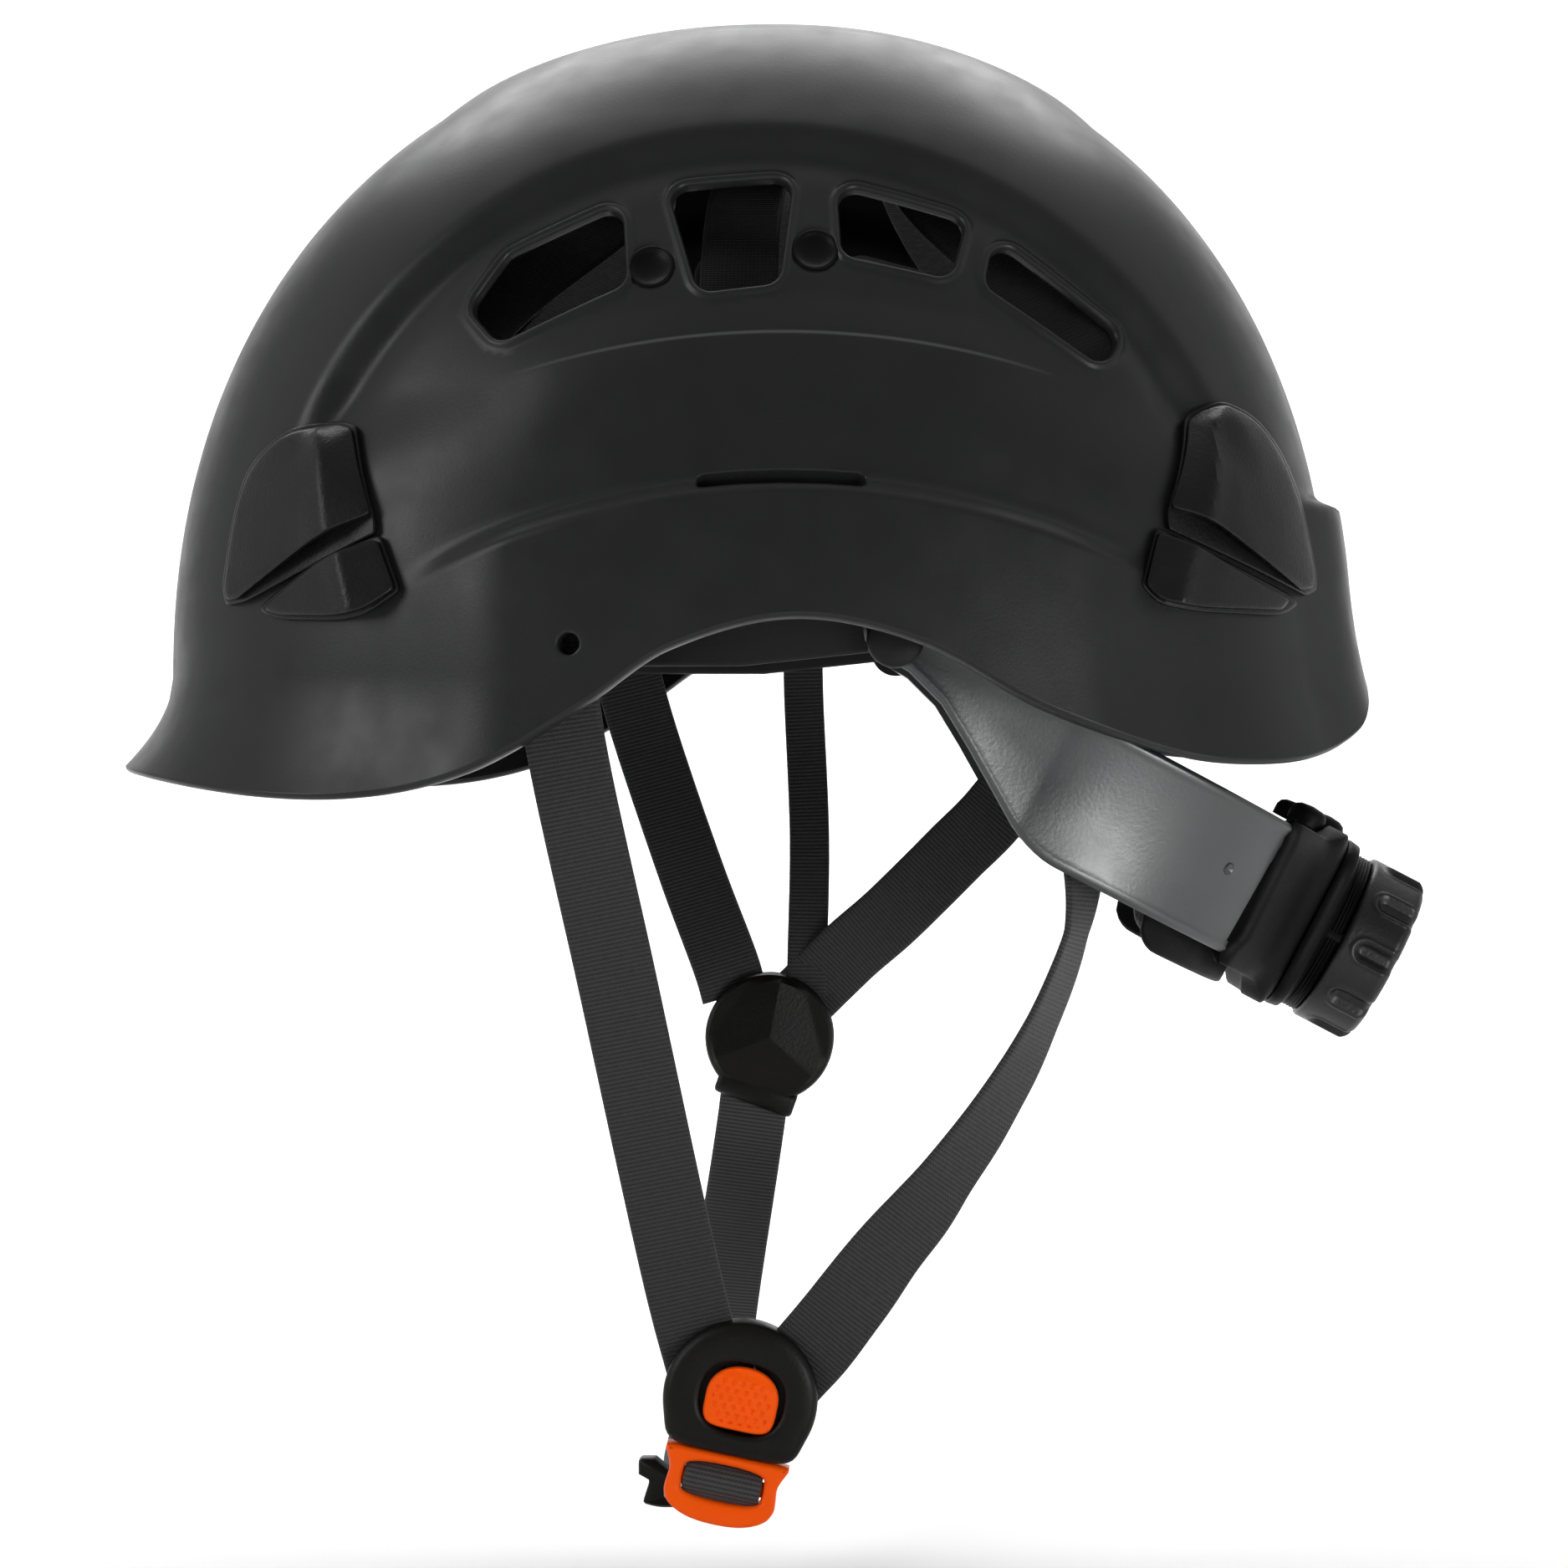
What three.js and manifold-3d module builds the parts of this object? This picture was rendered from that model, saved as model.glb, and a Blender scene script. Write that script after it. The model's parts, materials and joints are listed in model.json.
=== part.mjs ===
// Climbing helmet: hard shell, textile cradle, nape frame with a ratchet size adjuster, chin harness with a
// push-button buckle. Millimetres, +Z up, wearer faces -X, wearer's left is -Y.
// The origin is where the wearer's head carries the cradle, on the median plane.
import * as THREE from "three";
import { mergeVertices } from "three/addons/utils/BufferGeometryUtils.js";
import Module from "manifold-3d";

const wasm = await Module();
wasm.setup();

// ---- driving dimensions -------------------------------------------------------------------------------
const DEG = Math.PI / 180;
const GAP = 0.3;
const DOME = { front: 146.5, rear: 136, half: 104, height: 157.7, base: 10, rise: 2.15, plan: 2.2, wall: 2.8 };
const RIM = [[-165, -9.5], [-146, -12.5], [-97, -18.2], [-66, -13], [-38.5, 2.6], [-19.8, 15.1], [7.8, 22],
  [35.4, 16.5], [63, 1.5], [92, -8.5], [108, -10.3], [122.7, -8.5], [131, -3.5], [136, 5], [150, 14]];
const BRIM = { reach: 11.5, depth: 21 };
const HEEL = { reach: 4, depth: 26, pad: 5.2, padTop: 51, padHalf: 38 };
const LEDGE = { x: 6, z: 50, drop: 20, half: 84, proud: 4.4, rise: 5 };
const CENTRE = { x: -1, z: 19.5 };
const VENTS = [
  { outer: [-40, -18, 106], inner: [-42, -21, 89, 85] },
  { outer: [-11, 4, 106.5], inner: [-9.5, 2.5, 77.5, 79] },
  { outer: [11, 26, 107.5], inner: [14, 28, 88, 91] },
  { outer: [32, 50, 108], inner: [34.5, 51, 95.5, 101] },
];
const PLUGS = { front: [-25.2, 102.8], rear: [12.1, 106.6] };
const PLUG_RADIUS = 4.9;
const VISOR = { x: -41.4, z: 16.6, radius: 2.4 };
const SLOT = { x: 4.8, width: 37, floor: 33, inner: 99.4, outer: 104, wall: 2, lip: 50, head: 61 };
const WEB = { width: 18, thick: 1.5 };
const CLIPS = {
  front: {
    outline: [[-102.5, 69], [-96, 68.3], [-88.5, 47], [-80.5, 31], [-87, 24.5], [-96, 22.6], [-116, 24.5],
      [-124.7, 26.6], [-125.5, 34], [-123, 48], [-118.5, 60], [-111, 66]],
    slot: [[-130, 20.5], [-112.6, 30.8], [-100.4, 38.3], [-76, 45.5]],
  },
  rear: {
    outline: [[101, 71.8], [107, 72.8], [114, 69.5], [121, 60.5], [126, 49], [128.6, 33.5], [126, 27.5],
      [118.8, 24.2], [98, 24.6], [85.5, 29], [88.7, 43], [91.4, 47], [95.4, 59]],
    slot: [[76, 50.5], [95, 41.2], [124, 27.9], [136, 22.5]],
  },
};
const SHELL_GRID = [72, 18, 10];
const CLIP = { stand: 0.7, thick: 6.4, floor: 2.2, slot: 4.4 };
const NAPE = { x: 30, z: 18, tilt: 27.5, centre: 40, axisN: -13.5, low: -29, high: 5 };
const RING = { arm: 76.5, rack: 74, support: 67, pad: 63.2 };
const HOUSING = { half: 25, low: -36, high: 9.5, front: 68.5, back: 119 };
const COVER = { front: 119.3, back: 127.4, half: 24.4, low: -35.4, high: 9 };
const KNOB = { front: 127.8, back: 142.4, radius: 21.4, flutes: 20, shaft: 2.6 };
const PINION = { teeth: 10, pitch: 5, tip: 5.8, root: 4, front: 112.4, back: 115.6 };
const RACK = { outer: 10.4, thick: 1.6, from: -8, to: 44, teeth: 10 };
const BUCKLE = { x: -5.5, y: -66, z: -155.9, lean: 12, radius: 17.8 };
const KEEPER = { x: -15.4, y: -32, z: -184.2, width: 21, height: 5, length: 6, wall: 1.3 };
const DIVIDER = { x: -3.3, y: 76, z: -84, radius: 17 };

const helmet = new THREE.Group();

// ---- materials and placing ----------------------------------------------------------------------------
const LOOKS = {
  shell: [0x34363a, 0.42, 0],
  clip: [0x17181a, 0.25, 0],
  plastic: [0x202123, 0.5, 0],
  arm: [0x3c3f42, 0.35, 0],
  knob: [0x26272a, 0.45, 0],
  webbing: [0x252628, 0.9, 0],
  foam: [0x1c1d1f, 0.95, 0],
  orange: [0xf2590c, 0.45, 0],
  metal: [0xb9bcc0, 0.3, 1],
};

function place(name, geometry, look, parent = helmet) {
  const [color, roughness, metalness] = LOOKS[look];
  const mesh = new THREE.Mesh(geometry, new THREE.MeshStandardMaterial({ color, roughness, metalness }));
  mesh.name = name;
  parent.add(mesh);
  return mesh;
}

// ---- solids -------------------------------------------------------------------------------------------
function geometryOf(points, faces) {
  const geometry = new THREE.BufferGeometry();
  geometry.setAttribute("position", new THREE.Float32BufferAttribute(points.flat(), 3));
  geometry.setIndex(faces.flat());
  geometry.computeVertexNormals();
  return geometry;
}

function toSolid(geometry) {
  const bare = geometry.clone();
  bare.deleteAttribute("normal");
  bare.deleteAttribute("uv");
  const merged = mergeVertices(bare, 1e-4);
  const vertProperties = new Float32Array(merged.attributes.position.array);
  const triVerts = new Uint32Array(merged.index.array);
  return new wasm.Manifold(new wasm.Mesh({ numProp: 3, vertProperties, triVerts }));
}

function fromSolid(solid) {
  const mesh = solid.getMesh();
  const geometry = new THREE.BufferGeometry();
  geometry.setAttribute("position", new THREE.BufferAttribute(new Float32Array(mesh.vertProperties), 3));
  geometry.setIndex(new THREE.BufferAttribute(new Uint32Array(mesh.triVerts), 1));
  geometry.computeVertexNormals();
  return geometry;
}

function cut(geometry, ...tools) {
  return fromSolid(tools.reduce((solid, tool) => solid.subtract(toSolid(tool)), toSolid(geometry)));
}

function join(geometry, ...others) {
  return fromSolid(others.reduce((solid, other) => solid.add(toSolid(other)), toSolid(geometry)));
}

function overlap(geometry, other) {
  return fromSolid(toSolid(geometry).intersect(toSolid(other)));
}

function mirrored(geometry) {
  const copy = geometry.clone();
  copy.scale(1, -1, 1);
  const index = copy.index.array;
  for (let i = 0; i < index.length; i += 3) {
    [index[i + 1], index[i + 2]] = [index[i + 2], index[i + 1]];
  }
  copy.computeVertexNormals();
  return copy;
}

function box(x0, x1, y0, y1, z0, z1) {
  const geometry = new THREE.BoxGeometry(x1 - x0, y1 - y0, z1 - z0);
  return geometry.translate((x0 + x1) / 2, (y0 + y1) / 2, (z0 + z1) / 2);
}

function rodAlong(axis, radius, from, to, a = 0, b = 0, sides = 24) {
  const geometry = new THREE.CylinderGeometry(radius, radius, to - from, sides);
  const middle = (from + to) / 2;
  if (axis === "x") {
    return geometry.rotateZ(-Math.PI / 2).translate(middle, a, b);
  }
  if (axis === "y") {
    return geometry.translate(a, middle, b);
  }
  return geometry.rotateX(Math.PI / 2).translate(a, b, middle);
}

// A flat outline given as (x, z) points, pushed along Y from y0 to y1.
function plateAlongY(outline, y0, y1, holes = []) {
  const shape = new THREE.Shape(outline.map(([x, z]) => new THREE.Vector2(x, z)));
  shape.holes = holes.map((hole) => new THREE.Path(hole.map(([x, z]) => new THREE.Vector2(x, z))));
  const geometry = new THREE.ExtrudeGeometry(shape, { depth: y1 - y0, bevelEnabled: false, curveSegments: 12 });
  return geometry.rotateX(Math.PI / 2).translate(0, y1, 0);
}

// A closed solid through a row of sections; every section is a ring of the same number of points.
function loft(sections) {
  const count = sections[0].length;
  const faces = [];
  for (let s = 0; s + 1 < sections.length; s += 1) {
    for (let i = 0; i < count; i += 1) {
      const a = s * count + i;
      const b = s * count + ((i + 1) % count);
      faces.push([a, b, b + count], [a, b + count, a + count]);
    }
  }
  const last = (sections.length - 1) * count;
  for (let i = 1; i + 1 < count; i += 1) {
    faces.push([0, i + 1, i], [last, last + i, last + i + 1]);
  }
  const geometry = geometryOf(sections.flat(), faces);
  if (toSolid(geometry).volume() > 0) {
    return geometry;
  }
  return geometryOf(sections.flat(), faces.map(([a, b, c]) => [a, c, b]));
}

// A ribbon of rectangular section along a smooth curve; side is the direction of its width at each end.
function ribbon(points, sides, width, thick, steps = 24) {
  const curve = new THREE.CatmullRomCurve3(points.map((p) => new THREE.Vector3(...p)), false, "centripetal");
  const sections = [];
  for (let i = 0; i <= steps; i += 1) {
    const along = i / steps;
    const centre = curve.getPointAt(along);
    const tangent = curve.getTangentAt(along);
    const stage = along * (sides.length - 1);
    const index = Math.min(Math.floor(stage), sides.length - 2);
    const across = new THREE.Vector3(...sides[index]).lerp(new THREE.Vector3(...sides[index + 1]), stage - index);
    across.addScaledVector(tangent, -across.dot(tangent)).normalize();
    const face = new THREE.Vector3().crossVectors(tangent, across);
    const corner = (u, v) => centre.clone().addScaledVector(across, (u * width) / 2)
      .addScaledVector(face, (v * thick) / 2).toArray();
    sections.push([corner(-1, -1), corner(1, -1), corner(1, 1), corner(-1, 1)]);
  }
  return loft(sections);
}

// A sector of a ring about the vertical through (centre, 0), angles from the +X direction, in degrees.
function sector(centre, inner, outer, fromDeg, toDeg, low, high, steps = 16) {
  const sections = [];
  for (let i = 0; i <= steps; i += 1) {
    const angle = (fromDeg + ((toDeg - fromDeg) * i) / steps) * DEG;
    const at = (r, z) => [centre + r * Math.cos(angle), r * Math.sin(angle), z];
    sections.push([at(inner, low), at(outer, low), at(outer, high), at(inner, high)]);
  }
  return loft(sections);
}

// ---- the dome -----------------------------------------------------------------------------------------
function rimHeight(x) {
  const last = RIM.length - 1;
  const clamped = Math.min(Math.max(x, RIM[0][0]), RIM[last][0]);
  let i = 0;
  while (i < last - 1 && RIM[i + 1][0] < clamped) {
    i += 1;
  }
  const slope = (k) => {
    const [a, b] = [Math.max(k - 1, 0), Math.min(k + 1, last)];
    return (RIM[b][1] - RIM[a][1]) / (RIM[b][0] - RIM[a][0]);
  };
  const span = RIM[i + 1][0] - RIM[i][0];
  const t = (clamped - RIM[i][0]) / span;
  const t2 = t * t;
  const t3 = t2 * t;
  return RIM[i][1] * (2 * t3 - 3 * t2 + 1) + RIM[i + 1][1] * (3 * t2 - 2 * t3)
    + slope(i) * span * (t3 - 2 * t2 + t) + slope(i + 1) * span * (t3 - t2);
}

const smooth = (a, b, v) => THREE.MathUtils.smoothstep(v, a, b);

// How far the wall stands out of the plain dome, in plan, where the brim and the heel flare.
function flare(cosine, z) {
  const front = Math.pow(Math.max(0, -cosine), 3) * BRIM.reach
    * Math.pow(Math.max(0, (DOME.base - z) / BRIM.depth), 1.8);
  const rear = Math.pow(Math.max(0, cosine), 3) * HEEL.reach * Math.pow(Math.max(0, (32 - z) / HEEL.depth), 2);
  return front + rear;
}

// The raised skirt below the ledge and the heel pad, outer face only.
function relief(x, y, z) {
  const line = LEDGE.z - LEDGE.drop * ((x - LEDGE.x) / LEDGE.half) ** 2;
  const fade = 1 - smooth(0.72, 1.08, Math.abs(x - LEDGE.x) / LEDGE.half);
  const skirt = LEDGE.proud * fade * (1 - smooth(line, line + LEDGE.rise, z));
  const pad = HEEL.pad * smooth(60, 100, x) * (1 - smooth(HEEL.padHalf - 4, HEEL.padHalf + 4, Math.abs(y)))
    * (1 - smooth(HEEL.padTop - 2, HEEL.padTop + 3, z));
  return skirt + pad;
}

// One point of the dome: angle in plan, stage from the crown (0) to the rim (1), offset outwards.
function domePoint(angle, stage, offset, raised) {
  const [c, s] = [Math.cos(angle), Math.sin(angle)];
  const reach = (c < 0 ? DOME.front : DOME.rear) + offset;
  const half = DOME.half + offset;
  const height = DOME.height + offset;
  const plan = Math.pow(Math.pow(Math.abs(c) / reach, DOME.plan) + Math.pow(Math.abs(s) / half, DOME.plan),
    -1 / DOME.plan);
  const rise = rimHeight(plan * c) - DOME.base;
  const foot = Math.sign(rise) * Math.asin(Math.pow(Math.abs(rise) / height, DOME.rise / 2));
  const turn = Math.PI / 2 + (foot - Math.PI / 2) * stage;
  const z = DOME.base + Math.sign(turn) * height * Math.pow(Math.abs(Math.sin(turn)), 2 / DOME.rise);
  const radius = plan * (turn > 0 ? Math.pow(Math.cos(turn), 2 / DOME.rise) : 1);
  const out = radius + flare(c, z) + (raised ? relief(radius * c, radius * s, z) : 0);
  return [out * c, out * s, z];
}

// The wall between two offsets of the dome.
function domeWall(columns, outerRows, innerRows, outerOffset, innerOffset, raised) {
  const points = [[0, 0, DOME.base + DOME.height + outerOffset], [0, 0, DOME.base + DOME.height + innerOffset]];
  const addRows = (rows, offset, lifted) => {
    const start = points.length;
    for (let r = 1; r <= rows; r += 1) {
      for (let i = 0; i < columns; i += 1) {
        points.push(domePoint((i / columns) * 2 * Math.PI, r / rows, offset, lifted));
      }
    }
    return start;
  };
  const outer = addRows(outerRows, outerOffset, raised);
  const inner = addRows(innerRows, innerOffset, false);
  const faces = [];
  const skin = (start, rows, pole, flip) => {
    const push = (a, b, c) => faces.push(flip ? [a, c, b] : [a, b, c]);
    for (let i = 0; i < columns; i += 1) {
      const j = (i + 1) % columns;
      push(pole, start + i, start + j);
      for (let r = 0; r + 1 < rows; r += 1) {
        const [a, b] = [start + r * columns + i, start + r * columns + j];
        push(a, a + columns, b + columns);
        push(a, b + columns, b);
      }
    }
  };
  skin(outer, outerRows, 0, false);
  skin(inner, innerRows, 1, true);
  const outerLast = outer + (outerRows - 1) * columns;
  const innerLast = inner + (innerRows - 1) * columns;
  for (let i = 0; i < columns; i += 1) {
    const j = (i + 1) % columns;
    faces.push([outerLast + i, innerLast + i, innerLast + j], [outerLast + i, innerLast + j, outerLast + j]);
  }
  return geometryOf(points, faces);
}

// An opening in side view: two arcs about the centre of the band, angles from the vertical in degrees.
function ventOutline({ outer, inner }) {
  const at = (degrees, radius) => [CENTRE.x + radius * Math.sin(degrees * DEG),
    CENTRE.z + radius * Math.cos(degrees * DEG)];
  const [o0, o1, ro] = outer;
  const [i0, i1, r0, r1] = inner;
  const steps = 4;
  const top = [];
  const bottom = [];
  for (let k = 0; k <= steps; k += 1) {
    const t = k / steps;
    top.push(at(o0 + 1.2 + (o1 - o0 - 2.4) * t, ro));
    bottom.push(at(i1 - 1.5 + (i0 - i1 + 3) * t, r1 + (r0 - r1) * t));
  }
  return [at(o0, ro - 3), ...top, at(o1, ro - 3), at(i1, r1 + 3), ...bottom, at(i0, r0 + 3)];
}

function makeShell() {
  const wall = domeWall(...SHELL_GRID, 0, -DOME.wall, true);
  const [x0, x1] = [SLOT.x - SLOT.width / 2, SLOT.x + SLOT.width / 2];
  const [from, to] = [x0 - SLOT.wall, x1 + SLOT.wall];
  const pocketWalls = [
    box(from, to, -SLOT.inner - 1.6, -SLOT.inner + SLOT.wall, SLOT.floor - SLOT.wall, SLOT.lip),
    box(from, to, -SLOT.inner - 0.1, -SLOT.inner + SLOT.wall, SLOT.lip - 1, SLOT.head),
  ];
  const pocket = box(x0, x1, -SLOT.outer, -SLOT.inner, SLOT.floor, SLOT.head + 9);
  const tools = VENTS.map((vent) => plateAlongY(ventOutline(vent), -125, -45));
  for (const [x, z] of Object.values(PLUGS)) {
    tools.push(rodAlong("y", PLUG_RADIUS + GAP, -120, -60, x, z));
  }
  tools.push(rodAlong("y", VISOR.radius, -120, -90, VISOR.x, VISOR.z, 16));
  tools.push(pocket);
  const sides = [...tools, ...tools.map(mirroredTool)];
  return cut(join(wall, ...pocketWalls, ...pocketWalls.map(mirroredTool)), ...sides);
}

function mirroredTool(geometry) {
  const indexed = mergeVertices(stripped(geometry), 1e-4);
  return mirrored(indexed);
}

function stripped(geometry) {
  const bare = geometry.clone();
  bare.deleteAttribute("normal");
  bare.deleteAttribute("uv");
  return bare;
}

function makeClip({ outline, slot }) {
  const layer = domeWall(56, 14, 14, CLIP.thick, CLIP.stand, false);
  const lifted = domeWall(56, 14, 14, CLIP.thick + 6, CLIP.floor, false);
  const pad = domeWall(...SHELL_GRID, CLIP.stand, -DOME.wall, true);
  const block = overlap(layer, plateAlongY(outline, -125, -20));
  const edge = (side) => slot.map(([x, z], i) => {
    const before = slot[Math.max(i - 1, 0)];
    const after = slot[Math.min(i + 1, slot.length - 1)];
    const length = Math.hypot(after[0] - before[0], after[1] - before[1]);
    const offset = (side * CLIP.slot) / 2 / length;
    return [x - (after[1] - before[1]) * offset, z + (after[0] - before[0]) * offset];
  });
  const path = plateAlongY([...edge(1), ...edge(-1).reverse()], -130, -15);
  return cut(block, overlap(lifted, path), pad);
}

function makeShellParts() {
  const shell = place("shell", makeShell(), "shell");
  for (const [where, clip] of Object.entries(CLIPS)) {
    const geometry = makeClip(clip);
    place(`headlamp_clip_${where}_left`, geometry, "clip");
    place(`headlamp_clip_${where}_right`, mirrored(geometry), "clip");
  }
  for (const [where, [x, z]] of Object.entries(PLUGS)) {
    const plug = rodAlong("y", PLUG_RADIUS, -83.5, -74, x, z);
    place(`cradle_rivet_${where}_left`, plug, "plastic");
    place(`cradle_rivet_${where}_right`, mirroredTool(plug), "plastic");
  }
  const insert = cut(rodAlong("y", 4.4, -96.9, -94, VISOR.x, VISOR.z, 12),
    rodAlong("y", VISOR.radius, -98, -90, VISOR.x, VISOR.z, 12));
  place("visor_insert_left", insert, "metal");
  place("visor_insert_right", mirroredTool(insert), "metal");
  return shell;
}

// ---- cradle and headband ------------------------------------------------------------------------------
const BAND = { front: -97, half: 79, rear: 42, low: 12, high: 44, thick: 1.8 };

function bandPath(offset, reach) {
  const points = [];
  const steps = 20;
  for (let i = 0; i <= steps; i += 1) {
    const angle = (90 + reach - (2 * reach * i) / steps + 90) * DEG;
    const spread = Math.pow(Math.abs(Math.cos(angle)), 0.9) * Math.sign(Math.cos(angle));
    points.push([spread * (-BAND.front + offset), Math.sin(angle) * (BAND.half + offset)]);
  }
  return points;
}

function bandLoft(offset, thick, reach, low, high, tail) {
  const outer = bandPath(offset + thick, reach);
  const inner = bandPath(offset, reach);
  const sections = outer.map(([x, y], i) => {
    const [u, v] = inner[i];
    return [[u, v, low], [x, y, low], [x, y, high], [u, v, high]];
  });
  if (tail) {
    const side = (x, sign) => [[x, sign * (BAND.half + offset), low + 2],
      [x, sign * (BAND.half + offset + thick), low + 2], [x, sign * (BAND.half + offset + thick), high - 8],
      [x, sign * (BAND.half + offset), high - 8]];
    sections.unshift(side(BAND.rear, Math.sign(outer[0][1])));
    sections.push(side(BAND.rear, -Math.sign(outer[0][1])));
  }
  return loft(sections);
}

function makeCradle() {
  place("headband_front", bandLoft(0, BAND.thick, 88, BAND.low, BAND.high, true), "plastic");
  place("brow_pad", bandLoft(-5.3, 5, 48, BAND.low + 2, BAND.high - 2, false), "foam");
  const crown = 129;
  const foot = 50;
  const routes = { front: [-75, 75.8], middle: [-6, 90], rear: [77, 71.5] };
  let level = 0;
  for (const [where, [x, y]] of Object.entries(routes)) {
    const top = crown + level;
    const bend = where === "middle" ? x : x * 0.55;
    const points = [[x, -y, foot + 2.5], [x * 0.95, -y * 0.94, foot + 32], [bend, -y * 0.45, top - 14],
      [bend * 0.8, 0, top], [bend, y * 0.45, top - 14], [x * 0.95, y * 0.94, foot + 32], [x, y, foot + 2.5]];
    place(`cradle_strap_${where}`, ribbon(points, [[1, 0, 0], [1, 0, 0]], WEB.width, 1.2, 28), "webbing");
    const lug = (sign) => box(x - 12, x + 12, sign * y - 4, sign * y + 4, foot - 16, foot - GAP);
    place(`cradle_lug_${where}_left`, lug(-1), "plastic");
    place(`cradle_lug_${where}_right`, lug(1), "plastic");
    level += 2;
  }
}

// ---- nape frame and size adjuster, in the tilted frame ------------------------------------------------
const nape = new THREE.Group();
nape.position.set(NAPE.x, 0, NAPE.z);
nape.rotation.y = NAPE.tilt * DEG;
helmet.add(nape);

function armLow(d) {
  return NAPE.low + (NAPE.low * -0.78) * (1 - smooth(0, 52, d));
}

function armHigh(d) {
  return NAPE.high + 2 * (1 - smooth(0, 30, d));
}

function makeArm() {
  const ring = RING.arm;
  const thick = 1.1;
  const path = [[-9, 84], [-3, 83.6], [6, 82.8], [16, 81.6], [26, 80.2]];
  const steps = 13;
  for (let i = 0; i <= steps; i += 1) {
    const angle = (88 + ((20 - 88) * i) / steps) * DEG;
    path.push([NAPE.centre + ring * Math.cos(angle), ring * Math.sin(angle)]);
  }
  const sections = path.map(([d, y], i) => {
    const [a, b] = [path[Math.max(i - 1, 0)], path[Math.min(i + 1, path.length - 1)]];
    const length = Math.hypot(b[0] - a[0], b[1] - a[1]);
    const normal = [-(b[1] - a[1]) / length, (b[0] - a[0]) / length];
    const inset = i === 0 ? 5 : 0;
    const at = (side, n) => [d + normal[0] * side, y + normal[1] * side, n];
    const [low, high] = [armLow(d) + inset * 0.6, armHigh(d) - inset];
    return [at(-thick, low), at(thick, low), at(thick, high), at(-thick, high)];
  });
  return cut(loft(sections), rodAlong("y", 3.4, 60, 100, 0, 0, 16));
}

function makeHousing() {
  const { half, low, high, front, back } = HOUSING;
  const n = NAPE.axisN;
  const block = box(100, back, -half, half, low, high);
  const head = rodAlong("z", front, low - 5, high + 5, NAPE.centre, 0, 160);
  const channel = sector(NAPE.centre, 72.4, 75.6, -30, 30, n - 11.2, n + 11.2, 20);
  const well = rodAlong("x", 8, 111.8, back + 5, 0, n, 24);
  const bore = rodAlong("x", 2.2, 100, back, 0, n, 12);
  return cut(block, head, channel, well, bore);
}

function makeCover() {
  const n = NAPE.axisN;
  const block = box(COVER.front, COVER.back, -COVER.half, COVER.half, COVER.low, COVER.high);
  const recess = rodAlong("x", 9.5, COVER.front - 1, COVER.front + 4, 0, n, 24);
  const bore = rodAlong("x", KNOB.shaft + 0.4, COVER.front - 1, COVER.back + 1, 0, n, 16);
  const screws = [-19, 19].map((y) => rodAlong("x", 2, COVER.front - 1, COVER.back + 1, y, n, 12));
  return cut(block, recess, bore, ...screws);
}

function makeKnob() {
  const { front, back, radius, flutes } = KNOB;
  const shape = new THREE.Shape();
  const steps = flutes * 4;
  for (let i = 0; i < steps; i += 1) {
    const angle = (i / steps) * 2 * Math.PI;
    const r = radius - 0.75 + 0.75 * Math.cos(flutes * angle);
    const point = [r * Math.cos(angle), r * Math.sin(angle)];
    if (i === 0) {
      shape.moveTo(...point);
    } else {
      shape.lineTo(...point);
    }
  }
  const grip = new THREE.ExtrudeGeometry(shape, { depth: back - front, bevelEnabled: false });
  grip.rotateY(Math.PI / 2).translate(front, 0, NAPE.axisN);
  const dish = rodAlong("x", radius - 4, back - 2.5, back + 1, 0, NAPE.axisN, 32);
  const shaft = rodAlong("x", KNOB.shaft, PINION.back + GAP, front + 1, 0, NAPE.axisN, 16);
  const bore = rodAlong("x", 1.3, PINION.back - 1, front - 4, 0, NAPE.axisN, 12);
  return cut(join(cut(grip, dish), shaft), bore);
}

function makePinion() {
  const { teeth, tip, root, front, back } = PINION;
  const shape = new THREE.Shape();
  for (let i = 0; i < teeth; i += 1) {
    const at = (r, step) => [r * Math.cos(((i + step) / teeth) * 2 * Math.PI),
      r * Math.sin(((i + step) / teeth) * 2 * Math.PI)];
    const corners = [at(root, -0.3), at(tip, -0.11), at(tip, 0.11), at(root, 0.3)];
    corners.forEach((corner, k) => (i === 0 && k === 0 ? shape.moveTo(...corner) : shape.lineTo(...corner)));
  }
  const gear = new THREE.ExtrudeGeometry(shape, { depth: back - front, bevelEnabled: false });
  gear.rotateY(Math.PI / 2).translate(front, 0, NAPE.axisN);
  return cut(gear, rodAlong("x", 1.3, front - 1, back + 1, 0, NAPE.axisN, 12));
}

// The toothed strip of one side: side 1 lies above the pinion with its teeth down, side -1 below it.
function makeRack(side) {
  const { inner, outer, thick, from, to } = RACK;
  const tip = PINION.pitch - 0.7;
  const level = (v) => NAPE.axisN + side * v;
  const [body, end] = [level(tip + 1.6), level(outer)];
  const strip = sector(NAPE.centre, RING.rack - thick / 2, RING.rack + thick / 2, from, to,
    Math.min(body, end), Math.max(body, end), 22);
  const pitch = (2 * Math.PI * PINION.pitch) / PINION.teeth / RING.rack / DEG;
  const teeth = [];
  for (let k = 0; k < RACK.teeth; k += 1) {
    const middle = (Math.ceil(from / pitch) + k + 0.5) * pitch;
    const [low, high] = [Math.min(level(tip), level(tip + 2)), Math.max(level(tip), level(tip + 2))];
    teeth.push(sector(NAPE.centre, RING.rack - thick / 2, RING.rack + thick / 2, middle - 0.45, middle + 0.45,
      low, high, 1));
  }
  const rack = join(strip, ...teeth);
  return side > 0 ? mirrored(rack) : rack;
}

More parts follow.
